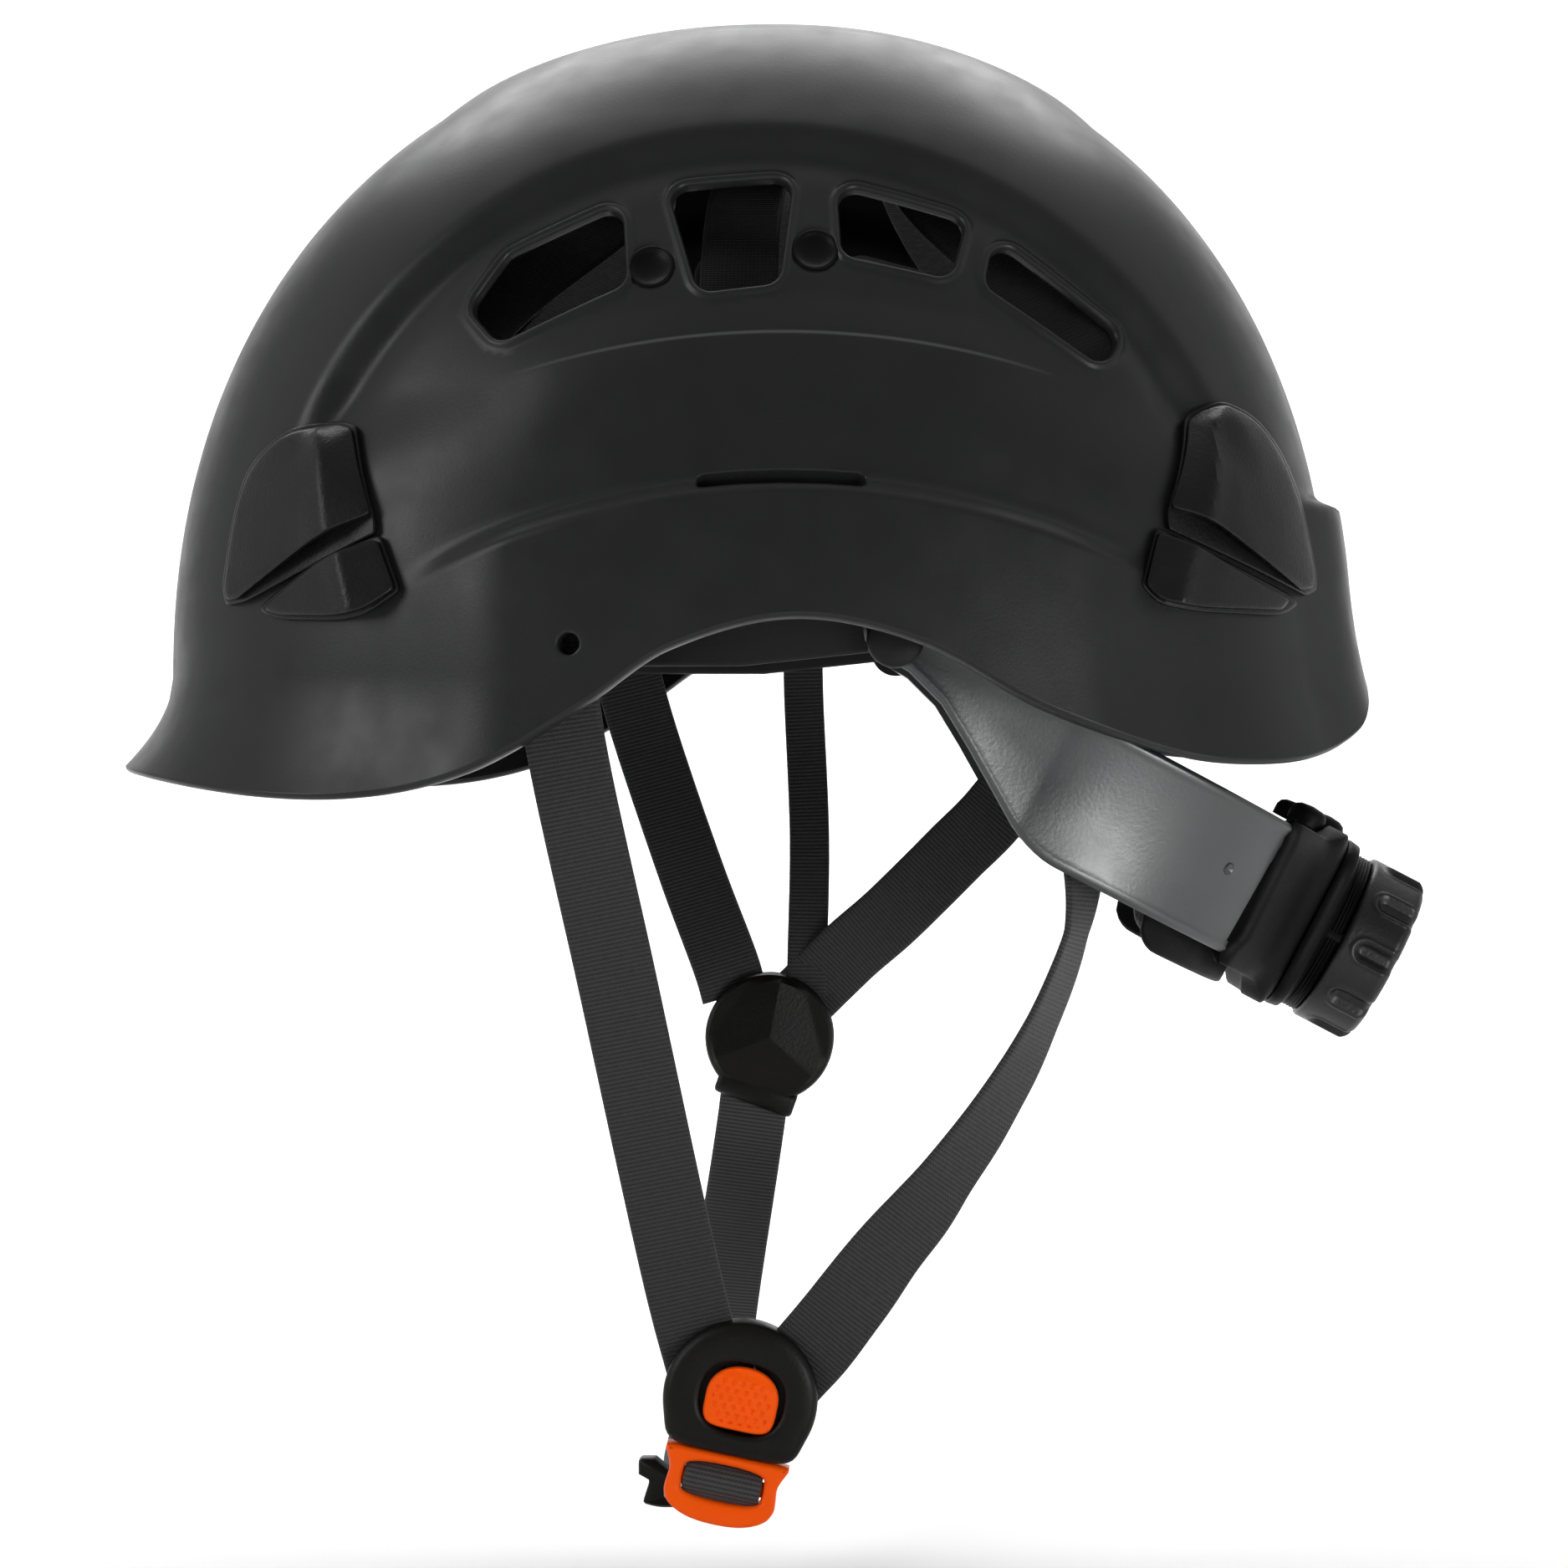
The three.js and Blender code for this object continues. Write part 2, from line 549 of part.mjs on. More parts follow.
function makeNape() {
  const arm = makeArm();
  place("nape_arm_right", arm, "arm", nape);
  place("nape_arm_left", mirrored(arm), "arm", nape);
  place("ratchet_housing", makeHousing(), "plastic", nape);
  place("ratchet_cover", makeCover(), "plastic", nape);
  place("knob", makeKnob(), "knob", nape);
  place("pinion", makePinion(), "plastic", nape);
  place("rack_left", makeRack(1), "plastic", nape);
  place("rack_right", makeRack(-1), "plastic", nape);
  const support = sector(NAPE.centre, RING.support - 1, RING.support + 1, -52, 52, -37, -7, 22);
  place("nape_support", support, "plastic", nape);
  place("nape_pad", sector(NAPE.centre, RING.pad - 2.4, RING.pad + 2.4, -44, 44, -35, -9, 18), "foam", nape);
  const n = NAPE.axisN;
  const ring = cut(rodAlong("x", 9, COVER.front + 0.3, COVER.front + 1.3, 0, n, 24),
    rodAlong("x", 6.6, COVER.front, COVER.front + 2, 0, n, 24));
  place("detent_spring", ring, "metal", nape);
  const screw = join(rodAlong("x", 1, 109, 121, 0, n, 12), rodAlong("x", 1.9, 108.8, 110.4, 0, n, 12));
  place("knob_screw", screw, "metal", nape);
  for (const [side, y] of [["left", -19], ["right", 19]]) {
    const body = rodAlong("x", 1.6, COVER.front + 1, COVER.back + 0.2, y, n, 12);
    place(`cover_screw_${side}`, body, "metal", nape);
  }
}

// ---- side pivots and strap anchors --------------------------------------------------------------------
function makePivots() {
  for (const [side, sign] of [["left", -1], ["right", 1]]) {
    const shaft = rodAlong("y", 3, 81.4, 85.4, NAPE.x, NAPE.z, 16);
    const pin = join(shaft, rodAlong("y", 6.5, 85.2, 87.2, NAPE.x, NAPE.z));
    place(`nape_pivot_${side}`, sign > 0 ? pin : mirrored(pin), "plastic");
    const anchors = { front: [-46, 24, 88.6], rear: [71, 24, 76] };
    for (const [where, [x, z, y]] of Object.entries(anchors)) {
      const plate = plateAlongY(roundedBox(x, z, 24, 18, 4), y, y + 2.6, [slotPath(x, z - 3, 19, 4.4)]);
      place(`strap_anchor_${where}_${side}`, sign > 0 ? plate : mirroredTool(plate), "plastic");
    }
  }
}

function roundedBox(x, z, width, height, corner) {
  const points = [];
  const [w, h] = [width / 2 - corner, height / 2 - corner];
  const centres = [[w, h, 0], [-w, h, 90], [-w, -h, 180], [w, -h, 270]];
  for (const [cx, cz, start] of centres) {
    for (let k = 0; k <= 3; k += 1) {
      const angle = (start + 30 * k) * DEG;
      points.push([x + cx + corner * Math.cos(angle), z + cz + corner * Math.sin(angle)]);
    }
  }
  return points;
}

function slotPath(x, z, width, height) {
  return roundedBox(x, z, width, height, height / 2 - 0.2).reverse();
}

// ---- chin harness -------------------------------------------------------------------------------------
const buckle = new THREE.Group();
buckle.position.set(BUCKLE.x, BUCKLE.y, BUCKLE.z);
buckle.rotation.y = BUCKLE.lean * DEG;
helmet.add(buckle);

function onBuckle(point) {
  return new THREE.Vector3(...point).applyAxisAngle(new THREE.Vector3(0, 1, 0), BUCKLE.lean * DEG)
    .add(new THREE.Vector3(BUCKLE.x, BUCKLE.y, BUCKLE.z)).toArray();
}

function discOutline(radius, flatBelow, steps = 36) {
  const points = [];
  for (let i = 0; i < steps; i += 1) {
    const angle = (i / steps) * 2 * Math.PI;
    points.push([radius * Math.cos(angle), Math.max(radius * Math.sin(angle), flatBelow)]);
  }
  return points;
}

function makeBuckle() {
  const outline = discOutline(BUCKLE.radius, -14.6);
  const window = roundedBox(0, 1.2, 20.6, 15.6, 6);
  place("buckle_front", plateAlongY(outline, -5.6, -0.2, [window.slice().reverse()]), "plastic", buckle);
  const track = box(-9.3, 9.3, -1, 2.6, -20, 2.4);
  const well = rodAlong("y", 3.2, -1, 3, 0, 6);
  place("buckle_back", cut(plateAlongY(outline, 0.1, 5.2), track, well), "plastic", buckle);
  place("buckle_button", plateAlongY(roundedBox(0, 1.2, 19.8, 14.8, 5.7), -6.8, -2.2), "orange", buckle);
  const turns = 3;
  const points = [];
  for (let i = 0; i <= turns * 8; i += 1) {
    const angle = (i / 8) * 2 * Math.PI;
    points.push(new THREE.Vector3(2.2 * Math.cos(angle), -1.5 + (3.7 * i) / (turns * 8), 6 + 2.2 * Math.sin(angle)));
  }
  const wire = new THREE.Shape(discOutline(0.35, -1, 5).map(([x, y]) => new THREE.Vector2(x, y)));
  place("button_spring", new THREE.ExtrudeGeometry(wire, { steps: turns * 8, bevelEnabled: false,
    extrudePath: new THREE.CatmullRomCurve3(points) }), "metal", buckle);
  const strapWindow = [[-10.6, -19.4], [-9.4, -26.4], [9.4, -26.4], [10.6, -19.4]];
  const frame = plateAlongY([[-14.5, -15.8], [-13.4, -24], [-9, -29.6], [9, -29.6], [13.4, -24], [14.5, -15.8]],
    -1.6, 3.4, [strapWindow.reverse()]);
  const blade = plateAlongY([[-8.6, -17], [8.6, -17], [8.6, 0.6], [6.6, 2], [-6.6, 2], [-8.6, 0.6]], 0.2, 2.2);
  place("buckle_tongue", join(frame, blade), "orange", buckle);
}

function makeDivider() {
  const { x, y, z, radius } = DIVIDER;
  const outline = discOutline(radius, -20).map(([u, v]) => [x + u, z + v]);
  place("divider_front", plateAlongY(outline, y - 4.6, y - 1.6), "plastic");
  place("divider_back", plateAlongY(outline, y + 1.6, y + 4.6), "plastic");
}

function makeStraps() {
  const across = (lean) => [Math.cos(lean * DEG), 0, Math.sin(lean * DEG)];
  const strap = (name, points, sides, width = WEB.width) => {
    place(name, ribbon(points, sides, width, WEB.thick), "webbing");
  };
  strap("strap_front_left", [[-46.5, -92.4, 17.5], [-44, -91, -4], [-32.6, -83, -60], [-21.6, -72.5, -115],
    [-17.4, -68.6, -134.6]], [across(12), across(11), across(11)]);
  strap("strap_rear_left", [[73, -74.6, 13.5], [72.8, -69.5, -4], [73.4, -63, -30], [72.4, -62.8, -46],
    [67.5, -63.5, -61.4], [60.4, -64.5, -76.8], [51.2, -66, -92.1], [40.2, -67, -107.5], [27.8, -67.4, -122.8],
    [15.1, -68, -138.2], [10.2, -68.6, -144.2]],
  [[1, 0.2, 0], [1, 0.2, 0], [0.6, 0.78, -0.1], [0.34, 0.94, -0.12], [0.38, 0.9, -0.2], [0.5, 0.8, -0.34],
    [0.6, 0.65, -0.48], [0.7, 0.35, -0.6], [0.77, 0, -0.64]]);
  strap("strap_front_right", [[-43.5, 92.4, 17.5], [-38, 91, -2], [-24, 83, -42], [-14.6, 76.2, -66],
    [-12.6, 76, -73]], [across(12), across(18), across(22)]);
  strap("strap_middle_right", [[5, 95, 24], [5.2, 94, 8], [7, 85, -32], [6.6, 76.3, -64], [6.5, 76, -73]],
    [across(0), across(0)], 10.6);
  strap("strap_rear_right", [[73, 74.6, 13.5], [71, 71, -3], [56, 69.6, -24.5], [45.6, 70.4, -35.1],
    [36.9, 71.4, -43.9], [27.9, 72.8, -52.7], [18.6, 74.6, -60.8]],
  [[1, -0.2, 0], [1, -0.15, -0.6], across(-44), across(-47), across(-47), across(-47)]);
}

function makeChinStrap() {
  const points = [[-5.2, DIVIDER.y, DIVIDER.z - 8], [-6, DIVIDER.y, DIVIDER.z - 19], [-8, 73.5, -116],
    [-13, 50, -152], [-16.5, 20, -172], [-17, -20, -181.5], onBuckle([0, 12, -31.5]), onBuckle([0, 5.2, -24.5])];
  place("chin_strap", ribbon(points, [[1, 0, 0], [1, 0, 0], [1, 0, 0.1], [1, 0, -0.15]], WEB.width, WEB.thick, 30),
    "webbing");
  const { x, y, z, width, height, length, wall } = KEEPER;
  const band = box(x - width / 2 - wall, x + width / 2 + wall, y - length / 2, y + length / 2,
    z - height / 2 - wall, z + height / 2 + wall);
  const passage = box(x - width / 2, x + width / 2, y - length, y + length, z - height / 2, z + height / 2);
  place("strap_keeper", cut(band, passage), "plastic");
}

makeShellParts();
makeCradle();
makeNape();
makePivots();
makeBuckle();
makeDivider();
makeStraps();
makeChinStrap();

export default helmet;
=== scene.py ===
"""Climbing helmet: the looks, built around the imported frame. Lengths in this file are millimetres in the
part's own frame (front -X, wearer's left -Y, +Z up); solid() turns them into metres when it makes a mesh."""
import json
import math

import bmesh
import bpy
import numpy as np
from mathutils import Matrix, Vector
from mathutils.geometry import delaunay_2d_cdt


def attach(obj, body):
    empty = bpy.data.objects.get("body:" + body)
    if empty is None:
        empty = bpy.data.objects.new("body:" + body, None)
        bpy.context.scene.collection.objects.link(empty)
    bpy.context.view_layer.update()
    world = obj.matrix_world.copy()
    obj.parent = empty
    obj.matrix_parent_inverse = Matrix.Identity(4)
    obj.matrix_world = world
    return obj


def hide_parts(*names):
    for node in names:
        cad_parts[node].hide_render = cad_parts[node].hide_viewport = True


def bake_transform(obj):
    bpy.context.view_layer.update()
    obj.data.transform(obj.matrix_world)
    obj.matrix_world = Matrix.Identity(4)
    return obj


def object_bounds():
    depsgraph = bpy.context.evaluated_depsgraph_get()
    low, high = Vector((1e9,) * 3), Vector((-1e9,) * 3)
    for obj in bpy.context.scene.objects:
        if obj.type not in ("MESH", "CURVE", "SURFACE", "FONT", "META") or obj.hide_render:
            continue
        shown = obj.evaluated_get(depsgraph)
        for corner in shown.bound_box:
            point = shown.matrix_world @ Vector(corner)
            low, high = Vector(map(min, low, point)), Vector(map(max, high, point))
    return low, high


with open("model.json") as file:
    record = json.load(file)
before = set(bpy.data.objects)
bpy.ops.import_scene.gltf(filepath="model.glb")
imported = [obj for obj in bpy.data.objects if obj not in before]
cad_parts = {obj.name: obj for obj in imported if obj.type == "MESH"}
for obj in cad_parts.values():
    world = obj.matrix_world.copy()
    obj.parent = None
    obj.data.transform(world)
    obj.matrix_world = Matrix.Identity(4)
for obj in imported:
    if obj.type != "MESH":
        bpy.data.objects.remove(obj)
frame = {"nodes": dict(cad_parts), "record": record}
cad_box = [list(corner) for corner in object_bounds()]

MM = 0.001
FRONT, REAR, HALF, HEIGHT, BASE = 146.5, 136.0, 104.0, 157.7, 10.0
RISE, PLAN, WALL = 2.15, 2.2, 2.8
RIM = [(-165, -9.5), (-146, -12.5), (-97, -18.2), (-66, -13), (-38.5, 2.6), (-19.8, 15.1), (7.8, 22),
       (35.4, 16.5), (63, 1.5), (92, -8.5), (108, -10.3), (122.7, -8.5), (131, -3), (136, 7.5),
       (150, 17)]
BRIM_REACH, BRIM_DEPTH = 11.5, 21.0
HEEL_REACH, HEEL_DEPTH, PAD, PAD_TOP, PAD_HALF = 4.0, 26.0, 5.2, 51.0, 38.0
LEDGE_X, LEDGE_Z, LEDGE_DROP, LEDGE_HALF, LEDGE_PROUD, LEDGE_RISE = 6.0, 50.0, 20.0, 84.0, 4.4, 4.7
SPINE_HALF, SPINE_LENGTH, SPINE_TALL = 32, 78, 4.8
CREASE_X, CREASE_Z, CREASE_DROP, CREASE_HALF, CREASE_PROUD = 5, 86.3, 9.3, 62, 0.95
CENTRE_X, CENTRE_Z = -1.0, 19.5
SLOT_FROM, SLOT_TO, SLOT_DEPTH = -13.7, 23.3, 6.0
NAPE_X, NAPE_Z, NAPE_TILT, NAPE_CENTRE, AXIS_N = 30.0, 18.0, 27.5, 40.0, -13.5
NAPE_BEND, KNOB_RADIUS, KNOB_GRIPS = 76.5, 21.4, 10
BUCKLE_AT, BUCKLE_LEAN, BUCKLE_RADIUS = (-5.5, -66.0, -155.9), 12.0, 17.8
DIVIDER_AT, DIVIDER_RADIUS = (-3.3, 76.0, -84.0), 17.0
KEEPER_AT = (-15.4, -32.0, -184.2)
WEB_WIDTH, WEB_THICK = 18.0, 1.5
SIDES = (("left", -1), ("right", 1))


# ---- meshes --------------------------------------------------------------------------------------------
def placed(name, points, faces):
    """An object in the scene from points in millimetres."""
    mesh = bpy.data.meshes.new(name)
    mesh.from_pydata((np.asarray(points, float) * MM).tolist(), [], faces)
    piece = bpy.data.objects.new(name, mesh)
    bpy.context.scene.collection.objects.link(piece)
    return piece


def solid(name, points, faces, material, body, replaces=(), smooth=35.0):
    """A mesh piece; smooth is the angle in degrees above which an edge stays sharp."""
    piece = placed(name, points, [list(map(int, f)) for f in faces])
    piece.data.validate()
    tidy(piece, smooth)
    piece.data.materials.append(material)
    return settle(piece, body, replaces)


def tidy(piece, smooth):
    """Faces turned outwards and shaded smooth up to the given angle."""
    work = bmesh.new()
    work.from_mesh(piece.data)
    bmesh.ops.recalc_face_normals(work, faces=work.faces)
    work.to_mesh(piece.data)
    work.free()
    piece.data.shade_smooth()
    if smooth < 180:
        piece.data.set_sharp_from_angle(angle=math.radians(smooth))


def settle(piece, body, replaces, blend=None):
    """Puts a piece on its body, or with a blend bakes its placement into the mesh and leaves it unparented,
    and hides the CAD nodes it replaces.
    """
    if blend:
        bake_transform(piece)
    else:
        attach(piece, body)
    if replaces:
        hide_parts(*replaces)
    return piece


def loft_faces(count, ring, closed=True, caps=True):
    """Quads between count rings of ring points each."""
    faces = []
    last = ring if closed else ring - 1
    for s in range(count - 1):
        for i in range(last):
            a, b = s * ring + i, s * ring + (i + 1) % ring
            faces.append((a, b, b + ring, a + ring))
    if caps:
        faces.append(tuple(range(ring))[::-1])
        faces.append(tuple((count - 1) * ring + i for i in range(ring)))
    return faces


def full_turn(count):
    """Equally spaced angles right round a circle."""
    return np.linspace(0, 2 * math.pi, count, endpoint=False)


def add_ring(points, ring):
    """Adds a ring of points to a mesh's points and returns its numbers."""
    first = len(points)
    points += list(ring)
    return list(range(first, len(points)))


def stitch(faces, rings):
    """Quads between neighbouring closed rings of point numbers."""
    for a, b in zip(rings, rings[1:]):
        for i in range(len(a)):
            j = (i + 1) % len(a)
            faces.append((a[i], b[i], b[j], a[j]))


def spline(points, steps):
    """Evenly spaced points, unit tangents and lengths along a smooth curve through the given points."""
    pts = np.asarray(points, float)
    pads = np.vstack([2 * pts[0] - pts[1], pts, 2 * pts[-1] - pts[-2]])
    fine = []
    for i in range(1, len(pads) - 2):
        p0, p1, p2, p3 = pads[i - 1:i + 3]
        spans = [max(np.linalg.norm(b - a), 1e-6) ** 0.5 for a, b in ((p0, p1), (p1, p2), (p2, p3))]
        knots = np.cumsum([0] + spans)
        for t in np.linspace(knots[1], knots[2], 24, endpoint=False):
            a1 = p0 + (p1 - p0) * (t - knots[0]) / (knots[1] - knots[0])
            a2 = p1 + (p2 - p1) * (t - knots[1]) / (knots[2] - knots[1])
            a3 = p2 + (p3 - p2) * (t - knots[2]) / (knots[3] - knots[2])
            b1 = a1 + (a2 - a1) * (t - knots[0]) / (knots[2] - knots[0])
            b2 = a2 + (a3 - a2) * (t - knots[1]) / (knots[3] - knots[1])
            fine.append(b1 + (b2 - b1) * (t - knots[1]) / (knots[2] - knots[1]))
    fine.append(pts[-1])
    fine = np.array(fine)
    length = np.concatenate([[0], np.cumsum(np.linalg.norm(np.diff(fine, axis=0), axis=1))])
    at = np.linspace(0, length[-1], steps + 1)
    centre = np.stack([np.interp(at, length, fine[:, k]) for k in range(3)], 1)
    tangent = np.gradient(centre, axis=0)
    tangent /= np.linalg.norm(tangent, axis=1)[:, None]
    return centre, tangent, at


# ---- the dome ------------------------------------------------------------------------------------------
def smoothstep(a, b, v):
    t = np.clip((np.asarray(v, float) - a) / (b - a), 0, 1)
    return t * t * (3 - 2 * t)


def rim_height(x):
    """The rim's S-curve, smooth through its named points."""
    knots, heights = np.array(RIM, float).T
    x = np.clip(x, knots[0], knots[-1])
    i = np.clip(np.searchsorted(knots, x, side="right") - 1, 0, len(RIM) - 2)
    number = np.arange(len(RIM))
    before, after = np.maximum(number - 1, 0), np.minimum(number + 1, len(RIM) - 1)
    slope = (heights[after] - heights[before]) / (knots[after] - knots[before])
    span = knots[i + 1] - knots[i]
    t = (x - knots[i]) / span
    return (heights[i] * (2 * t**3 - 3 * t**2 + 1) + heights[i + 1] * (3 * t**2 - 2 * t**3)
            + slope[i] * span * (t**3 - 2 * t**2 + t) + slope[i + 1] * span * (t**3 - t**2))


def ledge_height(x):
    """The lower edge of the ledge that runs along each side."""
    return LEDGE_Z - LEDGE_DROP * ((x - LEDGE_X) / LEDGE_HALF) ** 2


def section(z):
    """Share of the base outline left at a height."""
    t = np.clip((z - BASE) / HEIGHT, 0, 1)
    return np.clip(1 - t**RISE, 0, 1) ** (1 / RISE)


def side_y(x, z):
    """Half width of the plain dome at (x, z)."""
    reach = np.where(x < 0, FRONT, REAR)
    left = section(z) ** PLAN - (np.abs(x) / reach) ** PLAN
    return HALF * np.clip(left, 1e-9, None) ** (1 / PLAN)


def dome_normal(x, y, z):
    """Unit normal of the plain dome."""
    reach = np.where(x < 0, FRONT, REAR)
    t = np.clip((z - BASE) / HEIGHT, 1e-6, 0.9999)
    g = section(z)
    slope = -np.clip(1 - t**RISE, 1e-9, None) ** (1 / RISE - 1) * t ** (RISE - 1) / HEIGHT
    slope = np.where(z > BASE, slope, 0)
    normal = np.stack([np.sign(x) * np.abs(x) ** (PLAN - 1) / reach**PLAN,
                       np.sign(y) * np.abs(y) ** (PLAN - 1) / HALF**PLAN, -g ** (PLAN - 1) * slope], -1)
    return normal / np.clip(np.linalg.norm(normal, axis=-1, keepdims=True), 1e-12, None)


def panel_depth(x, y, z):
    """How far the side panel lies below the centre band: the long curved groove ends at the clips."""
    r = np.hypot(x - CENTRE_X, z - CENTRE_Z)
    wall = 1 - smoothstep(110.0, 117.5, r)
    valley = 1.1 * np.exp(-((r - 110.5) / 4.0) ** 2)
    side = smoothstep(48, 62, np.abs(y))
    return (3.4 * smoothstep(62, 106, r) * wall + valley) * smoothstep(50, 76, z) * side


def relief(x, y, z):
    """Features that stand on the dome: spine facet, skirt below the ledge, heel pad, panel crease."""
    line = ledge_height(x)
    fade = 1 - smoothstep(0.72, 1.08, np.abs(x - LEDGE_X) / LEDGE_HALF)
    skirt = LEDGE_PROUD * fade * (1 - np.clip((z - line) / LEDGE_RISE, 0, 1))
    pad = (PAD * smoothstep(60, 100, x) * (1 - smoothstep(PAD_HALF - 16, PAD_HALF + 12, np.abs(y)))
           * (1 - smoothstep(PAD_TOP - 2, PAD_TOP + 2, z)))
    edge = SPINE_HALF * np.sqrt(np.clip(1 - ((x - CENTRE_X) / SPINE_LENGTH) ** 2, 0, 1))
    tall = SPINE_TALL * edge / SPINE_HALF
    inside = np.clip(np.abs(y) / np.maximum(edge, 1e-3), 0, 1)
    outside = np.clip(1 - (np.abs(y) - edge) / 30, 0, 1) ** 1.5
    spine = np.where(np.abs(y) < edge, tall * (inside - 1) * 0.5 + tall * 0.5, tall * 0.5 * outside)
    spine = spine * (z > 110)
    crease_z = CREASE_Z - CREASE_DROP * ((x - CREASE_X) / CREASE_HALF) ** 2
    along = 1 - smoothstep(45, 66, np.abs(x - 2))
    above, below = np.clip(1 - (z - crease_z) / 9, 0, 1), np.clip(1 - (crease_z - z) / 26, 0, 1)
    crease = CREASE_PROUD * along * np.where(z > crease_z, above, below)
    plug = 0
    for px, pz in PLUGS.values():
        plug = plug - 1.8 * (1 - smoothstep(3.2, 5.4, np.hypot(x - px, z - pz))) * (np.abs(y) > 40)
    return skirt + pad + spine + crease + plug


def flare(cosine, z):
    """How far the brim and the heel turn outwards."""
    front = np.clip(-cosine, 0, 1) ** 3 * BRIM_REACH * np.clip((BASE - z) / BRIM_DEPTH, 0, None) ** 1.8
    rear = np.clip(cosine, 0, 1) ** 3 * HEEL_REACH * np.clip((32 - z) / HEEL_DEPTH, 0, None) ** 2
    return front + rear


def on_shell(x, y, z, height=0.0, inner=False, features=True):
    """A point of the shell over the plain dome's (x, y, z), height along the normal above its outer face."""
    normal = dome_normal(x, y, z)
    lift = -panel_depth(x, y, z) + height
    lift = lift - WALL if inner else lift + (relief(x, y, z) if features else 0)
    plan = np.hypot(x, y) + 1e-9
    out = flare(x / plan, z)
    point = np.stack([x, y, z], -1) + normal * np.asarray(lift)[..., None]
    point[..., 0] += out * x / plan
    point[..., 1] += out * y / plan
    return point


# ---- openings in the shell -----------------------------------------------------------------------------
def polar(degrees, radius):
    """A point in side view, by clockwise angle from the top about the centre of the vents."""
    angle = math.radians(degrees)
    return CENTRE_X + radius * math.sin(angle), CENTRE_Z + radius * math.cos(angle)


def signed_area(pts):
    """Positive for a closed outline that runs anticlockwise."""
    return np.sum(pts[:, 0] * np.roll(pts[:, 1], -1) - np.roll(pts[:, 0], -1) * pts[:, 1]) / 2


def polygon_distance(corners, corner_radius):
    """Signed distance, in side view, to a polygon with rounded corners; negative inside."""
    pts = np.array(corners, float)
    if signed_area(pts) < 0:
        pts = pts[::-1]
    edge = np.roll(pts, -1, 0) - pts
    edge /= np.linalg.norm(edge, axis=1)[:, None]
    out = np.stack([edge[:, 1], -edge[:, 0]], 1)
    inset = []
    for i in range(len(pts)):
        a, b = out[i - 1], out[i]
        inset.append(pts[i] - corner_radius * (a + b) / (1 + a @ b))
    inset = np.array(inset)

    def distance(x, z):
        best = np.full(np.shape(x), 1e9)
        within = np.ones(np.shape(x), bool)
        for i in range(len(inset)):
            p, q = inset[i], inset[(i + 1) % len(inset)]
            d = q - p
            t = np.clip(((x - p[0]) * d[0] + (z - p[1]) * d[1]) / (d @ d), 0, 1)
            best = np.minimum(best, np.hypot(x - p[0] - t * d[0], z - p[1] - t * d[1]))
            within &= (x - p[0]) * out[i][0] + (z - p[1]) * out[i][1] <= 0
        return np.where(within, -best, best) - corner_radius
    return distance


def circle_distance(cx, cz, radius):
    return lambda x, z: np.hypot(x - cx, z - cz) - radius


VENTS = [
    [(-41.8, 100.5), (-33.5, 105.8), (-17.6, 105.2), (-20.6, 84.5), (-41.8, 88.5)],
    [(-11.6, 106.0), (4.2, 106.6), (3.6, 78.8), (-9.8, 77.6)],
    [(9.8, 106.2), (26.6, 108.2), (28.6, 92.0), (12.6, 88.0)],
    [(30.6, 107.6), (50.6, 110.0), (52.4, 100.5), (33.2, 95.0)],
]
VENT_ROUND = 4.2
PLUGS = {"front": (-25.2, 102.8), "rear": (12.1, 106.6)}
VISOR = (-41.4, 16.6, 2.4)
# Height above the shell against distance from the opening: a soft bead, then the rounded edge.
BEAD = [(2.6, 0.0), (2.15, 0.18), (1.7, 0.5), (1.25, 0.72), (0.85, 0.72), (0.5, 0.5), (0.22, 0.12),
        (0.03, -0.45)]
BORE_EDGE = [(0.7, 0.0), (0.3, -0.06), (0.05, -0.35)]
SLOT_EDGE = [(0.6, 0.0), (0.3, -0.05), (0.05, -0.3)]


def slot_corners():
    """The slot follows the ledge's face."""
    xs = np.linspace(SLOT_FROM, SLOT_TO, 5)
    top, low = LEDGE_RISE + 0.3, 1.9
    return [(x, ledge_height(x) + top) for x in xs] + [(x, ledge_height(x) + low) for x in xs[::-1]]


def openings():
    """Each opening: its signed distance in side view, its edge profile and how deep its walls go."""
    found = [(polygon_distance([polar(*c) for c in vent], VENT_ROUND), BEAD, None) for vent in VENTS]
    found.append((circle_distance(*VISOR), BORE_EDGE, None))
    found.append((polygon_distance(slot_corners(), 0.7), SLOT_EDGE, SLOT_DEPTH))
    return found


def gradient(distance, x, z, step=0.05):
    """The direction in which a distance grows, as a unit vector."""
    gx = (distance(x + step, z) - distance(x - step, z)) / (2 * step)
    gz = (distance(x, z + step) - distance(x, z - step)) / (2 * step)
    size = np.maximum(np.hypot(gx, gz), 1e-6)
    return gx / size, gz / size


def snap(grid_x, grid_z, mask, distance, margin):
    """Moves the grid points nearest an opening's outline onto it; returns each point's side of it."""
    d = np.where(mask, distance(grid_x, grid_z) - margin, 1e3)
    near = np.zeros(d.shape, bool)
    for axis in (0, 1):
        other = np.roll(d, -1, axis)
        cross = d * other < 0
        if axis == 0:
            cross[-1] = False
        here = np.abs(d) <= np.abs(other)
        near |= cross & here
        near |= np.roll(cross & ~here, 1, axis)
    for _ in range(3):
        gx, gz = gradient(distance, grid_x, grid_z)
        off = np.where(near, distance(grid_x, grid_z) - margin, 0)
        grid_x -= off * gx
        grid_z -= off * gz
    return np.where(near, 0, np.sign(d)).astype(int)


